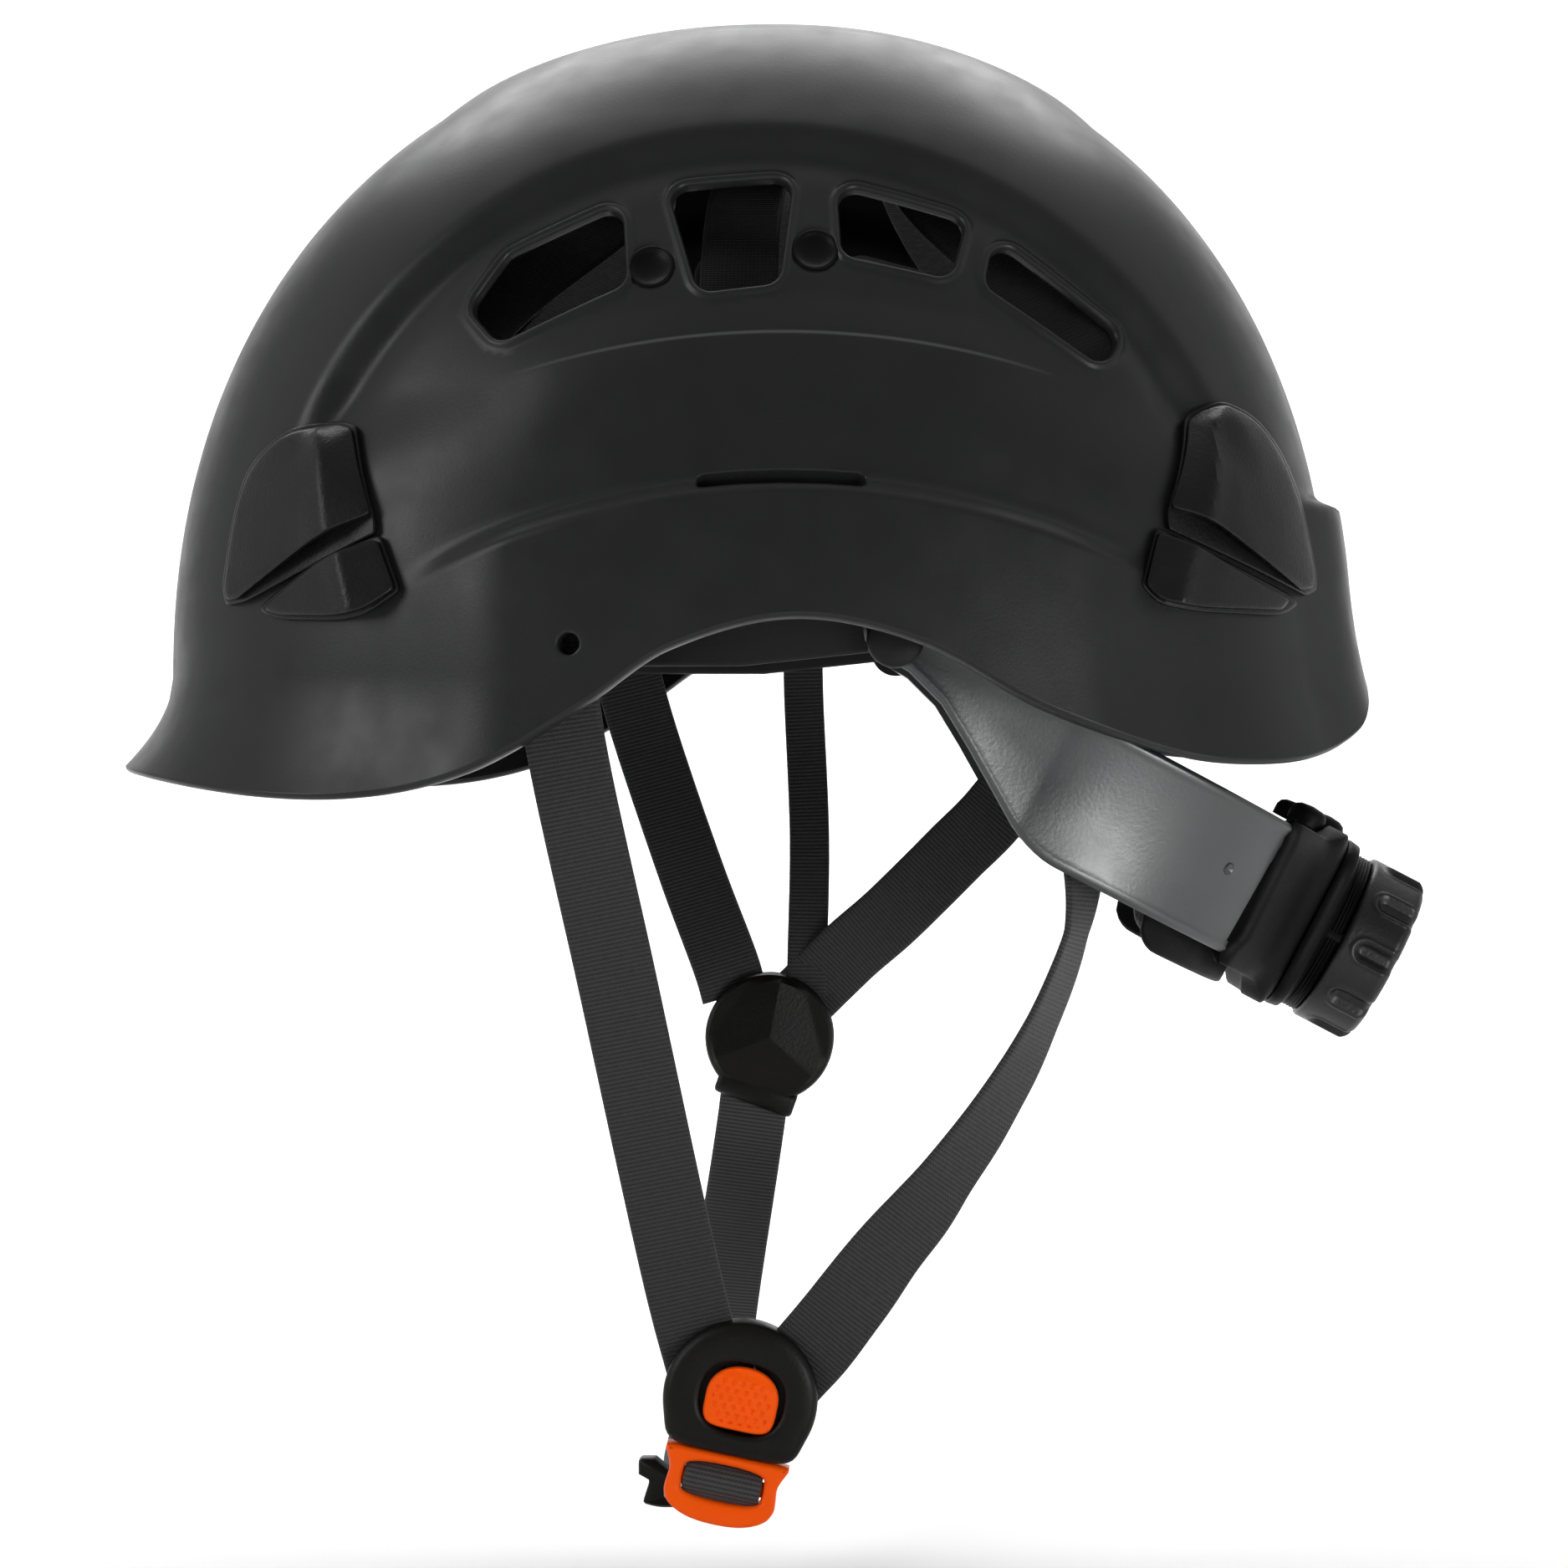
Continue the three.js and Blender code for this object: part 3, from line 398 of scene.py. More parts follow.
def boundary_loops(faces, members):
    """Ordered loops of the open edges whose ends are all in members."""
    edges = set()
    for face in faces:
        for i, a in enumerate(face):
            b = face[(i + 1) % len(face)]
            if a in members and b in members:
                edges.add((a, b))
    follow = {}
    for a, b in edges:
        if (b, a) not in edges:
            follow.setdefault(b, []).append(a)
    loops = []
    while follow:
        start = next(iter(follow))
        loop = [start]
        while True:
            ways = follow[loop[-1]]
            step = ways.pop()
            if not ways:
                del follow[loop[-1]]
            if step == start or step not in follow:
                break
            loop.append(step)
        if step == start:
            loops.append(loop)
    return loops


def shell_grid(columns, crown_rows, chamfer_rows, skirt_rows):
    """Base points of the shell by row and column, rows following the ledge and the rim."""
    angle = np.arange(columns) / columns * 2 * math.pi
    c, s = np.cos(angle), np.sin(angle)
    reach = np.where(c < 0, FRONT, REAR)
    plan = ((np.abs(c) / reach) ** PLAN + (np.abs(s) / HALF) ** PLAN) ** (-1 / PLAN)
    rim = rim_height(plan * c)
    low = np.maximum(ledge_height(plan * c), rim + 14)
    low = np.minimum(low, LEDGE_Z)
    top = low + LEDGE_RISE
    turn_top = np.arcsin(np.clip((top - BASE) / HEIGHT, 0, 1) ** (RISE / 2))
    rows = []
    for k in range(1, crown_rows + 1):
        turn = math.pi / 2 + (turn_top - math.pi / 2) * k / crown_rows
        rows.append(BASE + HEIGHT * np.sin(turn) ** (2 / RISE))
    for k in range(1, chamfer_rows + 1):
        rows.append(top - LEDGE_RISE * k / chamfer_rows)
    end = rim + WALL / 2
    for k in range(1, skirt_rows + 1):
        rows.append(low + (end - low) * (1 - (1 - k / skirt_rows) ** 1.35))
    z = np.array(rows)
    radius = plan * section(z)
    return radius * c, radius * s, z


def build_shell():
    """The shell: outer and inner skins on one grid, joined round the rim and through each opening."""
    columns = 520
    x, y, z = shell_grid(columns, 120, 4, 44)
    rows = len(z)
    side = np.sign(y)
    holes = []
    for distance, profile, depth in openings():
        for sign in (-1, 1):
            mask = (side == sign) & (z > 0) & (np.abs(y) > 40)
            flat_x, flat_z = x.copy(), z.copy()
            state = snap(flat_x, flat_z, mask, distance, profile[0][0])
            moved = state == 0
            x, z = np.where(moved, flat_x, x), np.where(moved, flat_z, z)
            y = np.where(moved, sign * side_y(x, z), y)
            holes.append((distance, profile, depth, sign, state))
    outer = on_shell(x, y, z).reshape(-1, 3)
    inner = on_shell(x, y, z, inner=True).reshape(-1, 3)
    count = rows * columns
    index = np.arange(count).reshape(rows, columns)
    nxt = np.roll(index, -1, 1)
    quads = np.stack([index[:-1], index[1:], nxt[1:], nxt[:-1]], -1).reshape(-1, 4)
    closed = np.zeros(len(quads), bool)
    extra = []
    for distance, profile, depth, sign, state in holes:
        s = state.reshape(-1)[quads]
        inside = (s < 0).any(1)
        split = inside & (s > 0).any(1)
        flat = (s == 0).all(1)
        middle = distance(x.reshape(-1)[quads].mean(1), z.reshape(-1)[quads].mean(1)) - profile[0][0]
        closed |= inside | (flat & (middle < 0))
        for quad, marks in zip(quads[split], s[split]):
            k = int(np.argmax(marks > 0))
            extra.append((int(quad[k - 1]), int(quad[k]), int(quad[(k + 1) % 4])))
    kept = [tuple(map(int, q)) for q in quads[~closed]] + extra
    points = [*outer, *inner]
    faces = kept + [tuple(i + count for i in reversed(face)) for face in kept]
    apex = np.array([[1e-3, 0.0, BASE + HEIGHT]])
    points += [on_shell(*apex.T)[0], on_shell(*apex.T, inner=True)[0]]
    for i in range(columns):
        j = (i + 1) % columns
        faces += [(2 * count, i, j), (2 * count + 1, count + j, count + i)]
    close_rim(points, faces, x[-1], y[-1], z[-1], (rows - 1) * columns, count)
    for distance, profile, depth, sign, state in holes:
        members = set(np.flatnonzero(state.reshape(-1) == 0).tolist())
        for loop in boundary_loops(kept, members):
            ends = x.reshape(-1)[loop], z.reshape(-1)[loop]
            collar(points, faces, loop, *ends, sign, distance, profile, depth, count)
    shell = solid("shell_skin", points, faces, MATERIALS["shell"], "helmet", ["shell"], smooth=180)
    # The inner skin takes a much darker copy of the shell plastic: painted shade for the inside of the shell.
    shell.data.materials.append(MATERIALS["shell_inside_shaded"])
    for polygon in shell.data.polygons:
        if all(count <= v < 2 * count for v in polygon.vertices):
            polygon.material_index = 1


def close_rim(points, faces, x, y, z, outer_start, count):
    """The rounded lip: half a turn from the outer face to the inner one."""
    columns, turns = len(x), 6
    rings = [[outer_start + i for i in range(columns)]]
    base, inside = on_shell(x, y, z), on_shell(x, y, z, inner=True)
    for k in range(1, turns):
        a = math.pi * k / turns
        ring = base + (inside - base) * ((1 - math.cos(a)) / 2)
        ring[:, 2] -= WALL / 2 * math.sin(a)
        rings.append(add_ring(points, ring))
    rings.append([outer_start + count + i for i in range(columns)])
    stitch(faces, rings)


def collar(points, faces, loop, loop_x, loop_z, sign, distance, profile, depth, count):
    """The rounded edge and the wall of one opening, from the outer skin to the inner one."""
    rings = [loop]
    start = profile[0][0]
    for reach, height in profile[1:]:
        gx, gz = gradient(distance, loop_x, loop_z)
        px, pz = loop_x - gx * (start - reach), loop_z - gz * (start - reach)
        for _ in range(2):
            off = distance(px, pz) - reach
            gx, gz = gradient(distance, px, pz)
            px, pz = px - off * gx, pz - off * gz
        py = sign * side_y(px, pz)
        ring = on_shell(px, py, pz, height=np.full(px.shape, height))
        rings.append(add_ring(points, ring))
    inner_loop = [i + count for i in loop]
    if depth:
        for share in (0.3, 1.0):
            sunk = np.array([0, sign * depth * share * 0.6, depth * share])
            rings.append(add_ring(points, ring - sunk))
        faces.append(tuple(rings[-1]) if sign < 0 else tuple(reversed(rings[-1])))
        back = on_shell(loop_x, sign * side_y(loop_x, loop_z), loop_z, inner=True)
        centre = len(points)
        points.append(back.mean(0))
        for i, here in enumerate(inner_loop):
            faces.append((here, inner_loop[(i + 1) % len(loop)], centre))
    else:
        inner_edge = on_shell(px, py, pz, inner=True, height=np.full(px.shape, 0.5))
        for share in (0.25, 0.6, 1.0):
            rings.append(add_ring(points, ring + (inner_edge - ring) * share))
        rings.append(inner_loop)
    stitch(faces, rings)


# ---- materials -----------------------------------------------------------------------------------------
def nodes_of(name):
    """A new material with its node tree and shader."""
    material = bpy.data.materials.new(name)
    material.use_nodes = True
    return material, material.node_tree, material.node_tree.nodes["Principled BSDF"]


def noise(tree, scale, detail, vector):
    node = tree.nodes.new("ShaderNodeTexNoise")
    node.inputs["Scale"].default_value = scale
    node.inputs["Detail"].default_value = detail
    tree.links.new(vector, node.inputs["Vector"])
    return node.outputs["Fac"]


def position(tree):
    return tree.nodes.new("ShaderNodeTexCoord").outputs["Object"]


def spread(tree, value, low, high):
    """A 0 to 1 value mapped to low..high."""
    node = tree.nodes.new("ShaderNodeMapRange")
    node.inputs["From Min"].default_value = 0.3
    node.inputs["From Max"].default_value = 0.7
    node.inputs["To Min"].default_value = low
    node.inputs["To Max"].default_value = high
    tree.links.new(value, node.inputs["Value"])
    return node.outputs["Result"]


def tint(tree, value, dark, light):
    """A 0 to 1 value as a colour between dark and light."""
    node = tree.nodes.new("ShaderNodeValToRGB")
    node.color_ramp.elements[0].position = 0.3
    node.color_ramp.elements[1].position = 0.7
    node.color_ramp.elements[0].color = (*dark, 1)
    node.color_ramp.elements[1].color = (*light, 1)
    tree.links.new(value, node.inputs["Fac"])
    return node.outputs["Color"]


def bump(tree, shader, value, strength, distance):
    node = tree.nodes.new("ShaderNodeBump")
    node.inputs["Strength"].default_value = strength
    node.inputs["Distance"].default_value = distance
    tree.links.new(value, node.inputs["Height"])
    tree.links.new(node.outputs["Normal"], shader.inputs["Normal"])


def calculator(tree):
    """Makes math nodes: operate(kind, a, b) takes numbers or sockets and returns the result's socket."""
    def operate(kind, a, b=None):
        node = tree.nodes.new("ShaderNodeMath")
        node.operation = kind
        for socket, value in zip(node.inputs, (a, b)):
            if value is None:
                continue
            if isinstance(value, (int, float)):
                socket.default_value = value
            else:
                tree.links.new(value, socket)
        return node.outputs["Value"]
    return operate


def moulded(name, dark, light, roughness, grain, depth, specular):
    """Moulded plastic: faint cloudy colour, a fine grain, roughness that wanders a little."""
    material, tree, shader = nodes_of(name)
    where = position(tree)
    cloud = noise(tree, 38.0, 4.0, where)
    tree.links.new(tint(tree, cloud, dark, light), shader.inputs["Base Color"])
    smear = noise(tree, 95.0, 5.0, where)
    tree.links.new(spread(tree, smear, roughness - 0.05, roughness + 0.05), shader.inputs["Roughness"])
    bump(tree, shader, noise(tree, grain, 2.0, where), depth, 0.0002)
    shader.inputs["Specular IOR Level"].default_value = specular
    return material


def webbing(name, dark, light):
    """Woven webbing: ribs across the strap, from its strap attribute (millimetres across and along)."""
    material, tree, shader = nodes_of(name)
    attribute = tree.nodes.new("ShaderNodeAttribute")
    attribute.attribute_name = "strap"
    split = tree.nodes.new("ShaderNodeSeparateXYZ")
    tree.links.new(attribute.outputs["Vector"], split.inputs["Vector"])
    operate = calculator(tree)
    across, along = split.outputs["X"], split.outputs["Y"]
    ribs = operate("SINE", operate("MULTIPLY", along, 2 * math.pi / 1.0))
    threads = operate("SINE", operate("MULTIPLY", across, 2 * math.pi / 0.9))
    crossed = operate("MULTIPLY", ribs, threads)
    weave = operate("ADD", operate("MULTIPLY", ribs, 0.62), operate("MULTIPLY", crossed, 0.38))
    stretch = tree.nodes.new("ShaderNodeMapRange")
    stretch.inputs["From Min"].default_value = -1.0
    tree.links.new(weave, stretch.inputs["Value"])
    height = stretch.outputs["Result"]
    fibre = noise(tree, 900.0, 3.0, position(tree))
    mixed = operate("ADD", operate("MULTIPLY", height, 0.75), operate("MULTIPLY", fibre, 0.25))
    tree.links.new(tint(tree, mixed, dark, light), shader.inputs["Base Color"])
    tree.links.new(spread(tree, fibre, 0.62, 0.8), shader.inputs["Roughness"])
    bump(tree, shader, mixed, 0.55, 0.0003)
    shader.inputs["Sheen Weight"].default_value = 0.25
    shader.inputs["Sheen Roughness"].default_value = 0.4
    return material


def foam(name):
    """Foam faced with a fine knitted fabric."""
    material, tree, shader = nodes_of(name)
    where = position(tree)
    cells = tree.nodes.new("ShaderNodeTexVoronoi")
    cells.inputs["Scale"].default_value = 900.0
    tree.links.new(where, cells.inputs["Vector"])
    tree.links.new(tint(tree, cells.outputs["Distance"], (0.004, 0.004, 0.0045), (0.016, 0.016, 0.017)),
                   shader.inputs["Base Color"])
    shader.inputs["Roughness"].default_value = 0.95
    shader.inputs["Sheen Weight"].default_value = 0.3
    bump(tree, shader, cells.outputs["Distance"], 0.5, 0.0004)
    return material


def steel(name):
    material, tree, shader = nodes_of(name)
    where = position(tree)
    tree.links.new(tint(tree, noise(tree, 300.0, 3.0, where), (0.42, 0.42, 0.43), (0.6, 0.6, 0.61)),
                   shader.inputs["Base Color"])
    tree.links.new(spread(tree, noise(tree, 700.0, 2.0, where), 0.25, 0.4), shader.inputs["Roughness"])
    shader.inputs["Metallic"].default_value = 1.0
    return material


def crease_highlight_mask(material):
    """A mark of 0 to 1 along the panel's crease, where a fine painted highlight is drawn for the lit crease.
    """
    tree = material.node_tree
    split = tree.nodes.new("ShaderNodeSeparateXYZ")
    tree.links.new(position(tree), split.inputs["Vector"])
    operate = calculator(tree)
    x, y, z = (split.outputs[axis] for axis in "XYZ")
    across = operate("DIVIDE", operate("SUBTRACT", x, CREASE_X * MM), CREASE_HALF * MM)
    square = operate("POWER", operate("ABSOLUTE", across), 2.0)
    line = operate("SUBTRACT", CREASE_Z * MM, operate("MULTIPLY", square, CREASE_DROP * MM))
    off = operate("ABSOLUTE", operate("SUBTRACT", z, line))
    mark = operate("SUBTRACT", 1.0, operate("MINIMUM", operate("DIVIDE", off, 0.55 * MM), 1.0))
    fourth = operate("POWER", operate("ABSOLUTE", across), 4.0)
    ends = operate("SUBTRACT", 1.0, operate("MINIMUM", fourth, 1.0))
    flank = operate("GREATER_THAN", operate("ABSOLUTE", y), 40 * MM)
    return operate("MULTIPLY", operate("MULTIPLY", mark, ends), flank)


def paint_highlight_tint(material, mark, light):
    """Paints a highlight: lightens the colour where the mark is."""
    tree = material.node_tree
    shader = tree.nodes["Principled BSDF"]
    mix = tree.nodes.new("ShaderNodeMix")
    mix.data_type = "RGBA"
    tree.links.new(mark, mix.inputs["Factor"])
    tree.links.new(shader.inputs["Base Color"].links[0].from_socket, mix.inputs[6])
    mix.inputs[7].default_value = (*light, 1)
    tree.links.new(mix.outputs[2], shader.inputs["Base Color"])


# Name, dark and light colour, roughness, scale and depth of the grain, specular level.
PLASTICS = {
    "shell": ("shell_plastic", (0.0135, 0.0138, 0.0145), (0.0155, 0.0158, 0.0165), 0.36, 1500.0, 0.10, 0.25),
    "clip": ("clip_plastic", (0.004, 0.004, 0.0045), (0.007, 0.007, 0.0075), 0.40, 1300.0, 0.5, 0.26),
    "rivet": ("rivet_plastic", (0.002, 0.002, 0.002), (0.004, 0.004, 0.004), 0.42, 1400.0, 0.15, 0.1),
    "inner_plastic": ("inner_plastic", (0.002, 0.002, 0.0025), (0.004, 0.004, 0.0045), 0.55, 1200, 0.3, 0.3),
    "arm": ("arm_plastic", (0.010, 0.012, 0.013), (0.018, 0.020, 0.022), 0.33, 1100.0, 0.18, 1.0),
    "nape_plastic": ("nape_plastic", (0.002, 0.002, 0.002), (0.0035, 0.0035, 0.0035), 0.5, 1000.0, 0.4, 0.1),
    "knob": ("knob_plastic", (0.004, 0.004, 0.0045), (0.007, 0.007, 0.0075), 0.38, 1100.0, 0.35, 0.42),
    "buckle": ("buckle_plastic", (0.003, 0.0025, 0.002), (0.005, 0.0045, 0.004), 0.42, 1300.0, 0.35, 0.2),
    "orange": ("orange_plastic", (0.97, 0.088, 0.001), (1.0, 0.105, 0.001), 0.38, 1300.0, 0.2, 0.12),
    # The shell's inside: a darker copy of the shell plastic, painted shade.
    "shell_inside_shaded": ("shell_inside_painted_shade", (0.0015, 0.0015, 0.0015), (0.003, 0.003, 0.003), 0.7, 1300.0, 0.1, 0.08),
}
MATERIALS = {
    **{slot: moulded(*made) for slot, made in PLASTICS.items()},
    "webbing": webbing("webbing", (0.002, 0.002, 0.0025), (0.024, 0.024, 0.025)),
    # A lighter copy of the webbing for the chin strap, whose broad face turns to the light: painted light.
    "chin_webbing_painted_light": webbing("chin_webbing_painted_light", (0.008, 0.008, 0.009), (0.045, 0.045, 0.047)),
    # A darker copy of the webbing for the straps inside the shell: painted shade.
    "cradle_webbing_painted_shade": webbing("cradle_webbing_painted_shade", (0.001, 0.001, 0.001), (0.004, 0.004, 0.004)),
    "foam": foam("foam"),
    "insert": steel("steel"),
}
# The shell gets a painted highlight: a thin lighter line along the panel's crease, where it catches the
# light.
paint_highlight_tint(MATERIALS["shell"], crease_highlight_mask(MATERIALS["shell"]), (0.075, 0.076, 0.078))


# ---- straps --------------------------------------------------------------------------------------------
def ribbon(name, points, sides, width=WEB_WIDTH, thick=WEB_THICK, cloth="webbing", blend=None, ripple=0.0):
    """A woven strap: flat with rounded selvedges, along a smooth route, its width turning through sides."""
    length = sum(np.linalg.norm(np.subtract(a, b)) for a, b in zip(points, points[1:]))
    steps = max(24, int(length / 1.6))
    centre, tangent, along = spline(points, steps)
    stage = np.linspace(0, len(sides) - 1, steps + 1)
    side = np.stack([np.interp(stage, range(len(sides)), [s[k] for s in sides]) for k in range(3)], 1)
    side -= tangent * np.sum(side * tangent, 1)[:, None]
    side /= np.linalg.norm(side, axis=1)[:, None]
    face = np.cross(tangent, side)
    outline = [(-0.5, -0.2), (-0.47, -0.46), (-0.43, -0.5)]
    outline += [(u, -0.5) for u in np.linspace(-0.35, 0.35, 7)]
    outline += [(0.43, -0.5), (0.47, -0.46), (0.5, -0.2)]
    outline += [(-u, -v) for u, v in outline]
    pts, marks = [], []
    for i in range(steps + 1):
        wave = ripple * math.sin(along[i] / 4.2) * math.sin(along[i] / 17.0)
        for u, v in outline:
            edge = wave * max(0, u) * 2
            pts.append(centre[i] + side[i] * (u * width + edge) + face[i] * v * thick)
            marks.append((u * width, along[i], 0.0))
    piece = placed(name + "_webbing", pts, loft_faces(steps + 1, len(outline)))
    attribute = piece.data.attributes.new("strap", "FLOAT_VECTOR", "POINT")
    attribute.data.foreach_set("vector", np.array(marks, np.float32).ravel())
    piece.data.materials.append(MATERIALS[cloth])
    tidy(piece, 60)
    settle(piece, "helmet", [name], blend)


def lean(degrees):
    """A strap's width turned in side view."""
    return (math.cos(math.radians(degrees)), 0, math.sin(math.radians(degrees)))


def on_buckle(x, y, z):
    """A point given in the leaning buckle's own directions."""
    a = math.radians(BUCKLE_LEAN)
    return (BUCKLE_AT[0] + x * math.cos(a) + z * math.sin(a), BUCKLE_AT[1] + y,
            BUCKLE_AT[2] - x * math.sin(a) + z * math.cos(a))


def metres(point):
    return tuple(c * MM for c in point)


def build_straps():
    """The five straps that hang from the shell and the chin strap that joins them."""
    ribbon("strap_front_left",
           [(-46.5, -92.4, 17.5), (-44, -91, -4), (-32.6, -83, -60), (-21.6, -72.5, -115),
            (-17.4, -68.6, -134.6), (-13.6, -64.8, -150)],
           [lean(12), lean(11), lean(11)])
    ribbon("strap_rear_left",
           [(73, -74.6, 13.5), (72.8, -69.5, -4), (73.5, -63, -30), (72.4, -62.8, -46), (67.5, -63.5, -61.4),
            (60.4, -64.5, -76.8), (51.2, -66, -92.1), (40.2, -67, -107.5), (27.8, -67.6, -122.8),
            (16, -68, -138.4), (7.6, -66.4, -148.6), (1.5, -64.8, -156.5)],
           [(1, 0.2, 0), (1, 0.2, 0), (0.6, 0.78, -0.1), (0.29, 0.95, -0.12), (0.38, 0.9, -0.2),
            (0.5, 0.8, -0.34), (0.6, 0.65, -0.48), (0.72, 0.35, -0.6), (0.79, 0, -0.61), (0.79, 0, -0.61)],
           ripple=0.3)
    ribbon("strap_front_right",
           [(-43.5, 92.4, 17.5), (-38, 91, -2), (-24, 83, -42), (-14.6, 76, -66), (-12.6, 76, -73)],
           [(0.98, 0.3, 0.2), (0.95, 0.35, 0.3), (0.92, 0.3, 0.38)])
    ribbon("strap_middle_right",
           [(5, 95, 24), (5.2, 94, 8), (7, 85, -32), (6.6, 76.3, -64), (6.5, 76, -73)],
           [lean(0), lean(0)], width=10.6)
    ribbon("strap_rear_right",
           [(73, 74.6, 13.5), (71, 71, -3), (56, 69.6, -24.5), (45.6, 70.4, -35.1), (36.9, 71.4, -43.9),
            (27.9, 72.8, -52.7), (18.6, 74.6, -60.8), (10.4, 76.2, -68.8), (3.5, 76.5, -75.6)],
           [(1, -0.2, 0), (1, -0.15, -0.6), lean(-44), lean(-47), lean(-47), lean(-47)])
    _, across, top = DIVIDER_AT
    chin = [(-6.6, across, top - 8), (-7.8, across, top - 19), (-9.6, 73.5, -116),
            (-14.4, 50, -150), (-16.5, 20, -172), (-17, -20, -181.5), on_buckle(0, 11, -30.5),
            on_buckle(0, 5.2, -26), on_buckle(0, -0.8, -23.4), on_buckle(0, -2.6, -20.4),
            on_buckle(0, -1.2, -17.6), on_buckle(0, 1.8, -17.0)]
    reach = ("helmet", "tongue", metres((-14.5, -38, -184)), metres(on_buckle(0, 6, -27)))
    # The chin strap uses the lighter webbing copy: painted light on its broad face.
    ribbon("chin_strap", chin, [(1, 0, 0), (1, 0, 0), (1, 0, 0), (1, 0, 0.1), lean(-12), lean(-12)],
           cloth="chin_webbing_painted_light", blend=reach)


# ---- outlines and skins --------------------------------------------------------------------------------
def skin(name, rings, slot, body="helmet", replaces=(), smooth=40.0, caps=True, loop=False):
    """A mesh over rings of equal count; loop joins the last ring to the first instead of capping."""
    rings = [np.asarray(ring, float) for ring in rings]
    count = len(rings[0])
    if loop:
        rings.append(rings[0])
    faces = loft_faces(len(rings), count, caps=caps and not loop)
    points = np.concatenate(rings)
    if loop:
        points = points[:-count]
        faces = [tuple(i % len(points) for i in face) for face in faces]
    return solid(name, points, faces, MATERIALS[slot], body, replaces, smooth)


def softened(points):
    """A closed outline with its corners cut off and cut again."""
    pts = np.asarray(points, float)
    for _ in range(2):
        after = np.roll(pts, -1, 0)
        pts = np.stack([pts * 0.75 + after * 0.25, pts * 0.25 + after * 0.75], 1).reshape(-1, 2)
    return pts


def eased(points, radius):
    """A closed outline, its corners rounded to about the given radius and its shallow bends made smooth."""
    pts = np.asarray(points, float)
    found = []
    for i, here in enumerate(pts):
        before, after = pts[i - 1] - here, pts[(i + 1) % len(pts)] - here
        long_a, long_b = np.hypot(*before), np.hypot(*after)
        turn = math.pi - math.acos(np.clip(before @ after / (long_a * long_b), -1, 1))
        wanted = radius * math.tan(turn / 2) if turn > 0.7 else 20.0
        cut = min(wanted, 0.48 * long_a, 0.48 * long_b)
        start, end = here + before / long_a * cut, here + after / long_b * cut
        found += [start * (1 - t) ** 2 + here * 2 * t * (1 - t) + end * t**2 for t in np.linspace(0, 1, 6)]
    return np.array(found)


def even(points, pitch):
    """A closed outline resampled at about the given pitch."""
    pts = np.vstack([points, points[:1]])
    length = np.concatenate([[0], np.cumsum(np.linalg.norm(np.diff(pts, axis=0), axis=1))])
    at = np.linspace(0, length[-1], max(8, int(length[-1] / pitch)), endpoint=False)
    return np.stack([np.interp(at, length, pts[:, k]) for k in range(2)], 1)


def polyline_distance(x, z, points):
    """How far points lie from an open line."""
    best = np.full(np.shape(x), 1e9)
    for (ax, az), (bx, bz) in zip(points, points[1:]):
        dx, dz = bx - ax, bz - az
        t = np.clip(((x - ax) * dx + (z - az) * dz) / (dx * dx + dz * dz), 0, 1)
        best = np.minimum(best, np.hypot(x - ax - t * dx, z - az - t * dz))
    return best


def inward(points, amount):
    """A closed outline moved inwards by an amount."""
    pts = np.asarray(points, float)
    run = np.roll(pts, -1, 0) - np.roll(pts, 1, 0)
    run /= np.linalg.norm(run, axis=1)[:, None]
    return pts + np.stack([-run[:, 1], run[:, 0]], 1) * amount * np.sign(signed_area(pts))


def ray_outline(points, centre, count):
    """A closed outline resampled at equal angles about a point inside it."""
    pts = np.vstack([points, points[:1]]) - np.asarray(centre, float)
    found = []
    for k in range(count):
        a = 2 * math.pi * k / count
        c, s = math.cos(a), math.sin(a)
        across = pts[:, 0] * s - pts[:, 1] * c
        along = pts[:, 0] * c + pts[:, 1] * s
        reach = 0.0
        for i in range(len(pts) - 1):
            if (across[i] <= 0) != (across[i + 1] <= 0):
                t = across[i] / (across[i] - across[i + 1])
                reach = max(reach, along[i] + (along[i + 1] - along[i]) * t)
        found.append((centre[0] + c * reach, centre[1] + s * reach))
    return np.array(found)


def round_box(u0, u1, v0, v1, radius, corner=5):
    """A rectangle with rounded corners, anticlockwise."""
    points = []
    left, right, low, high = u0 + radius, u1 - radius, v0 + radius, v1 - radius
    for cu, cv, start in ((right, high, 0), (left, high, 90), (left, low, 180), (right, low, 270)):
        for k in range(corner + 1):
            a = math.radians(start + 90 * k / corner)
            points.append((cu + radius * math.cos(a), cv + radius * math.sin(a)))
    return np.array(points)


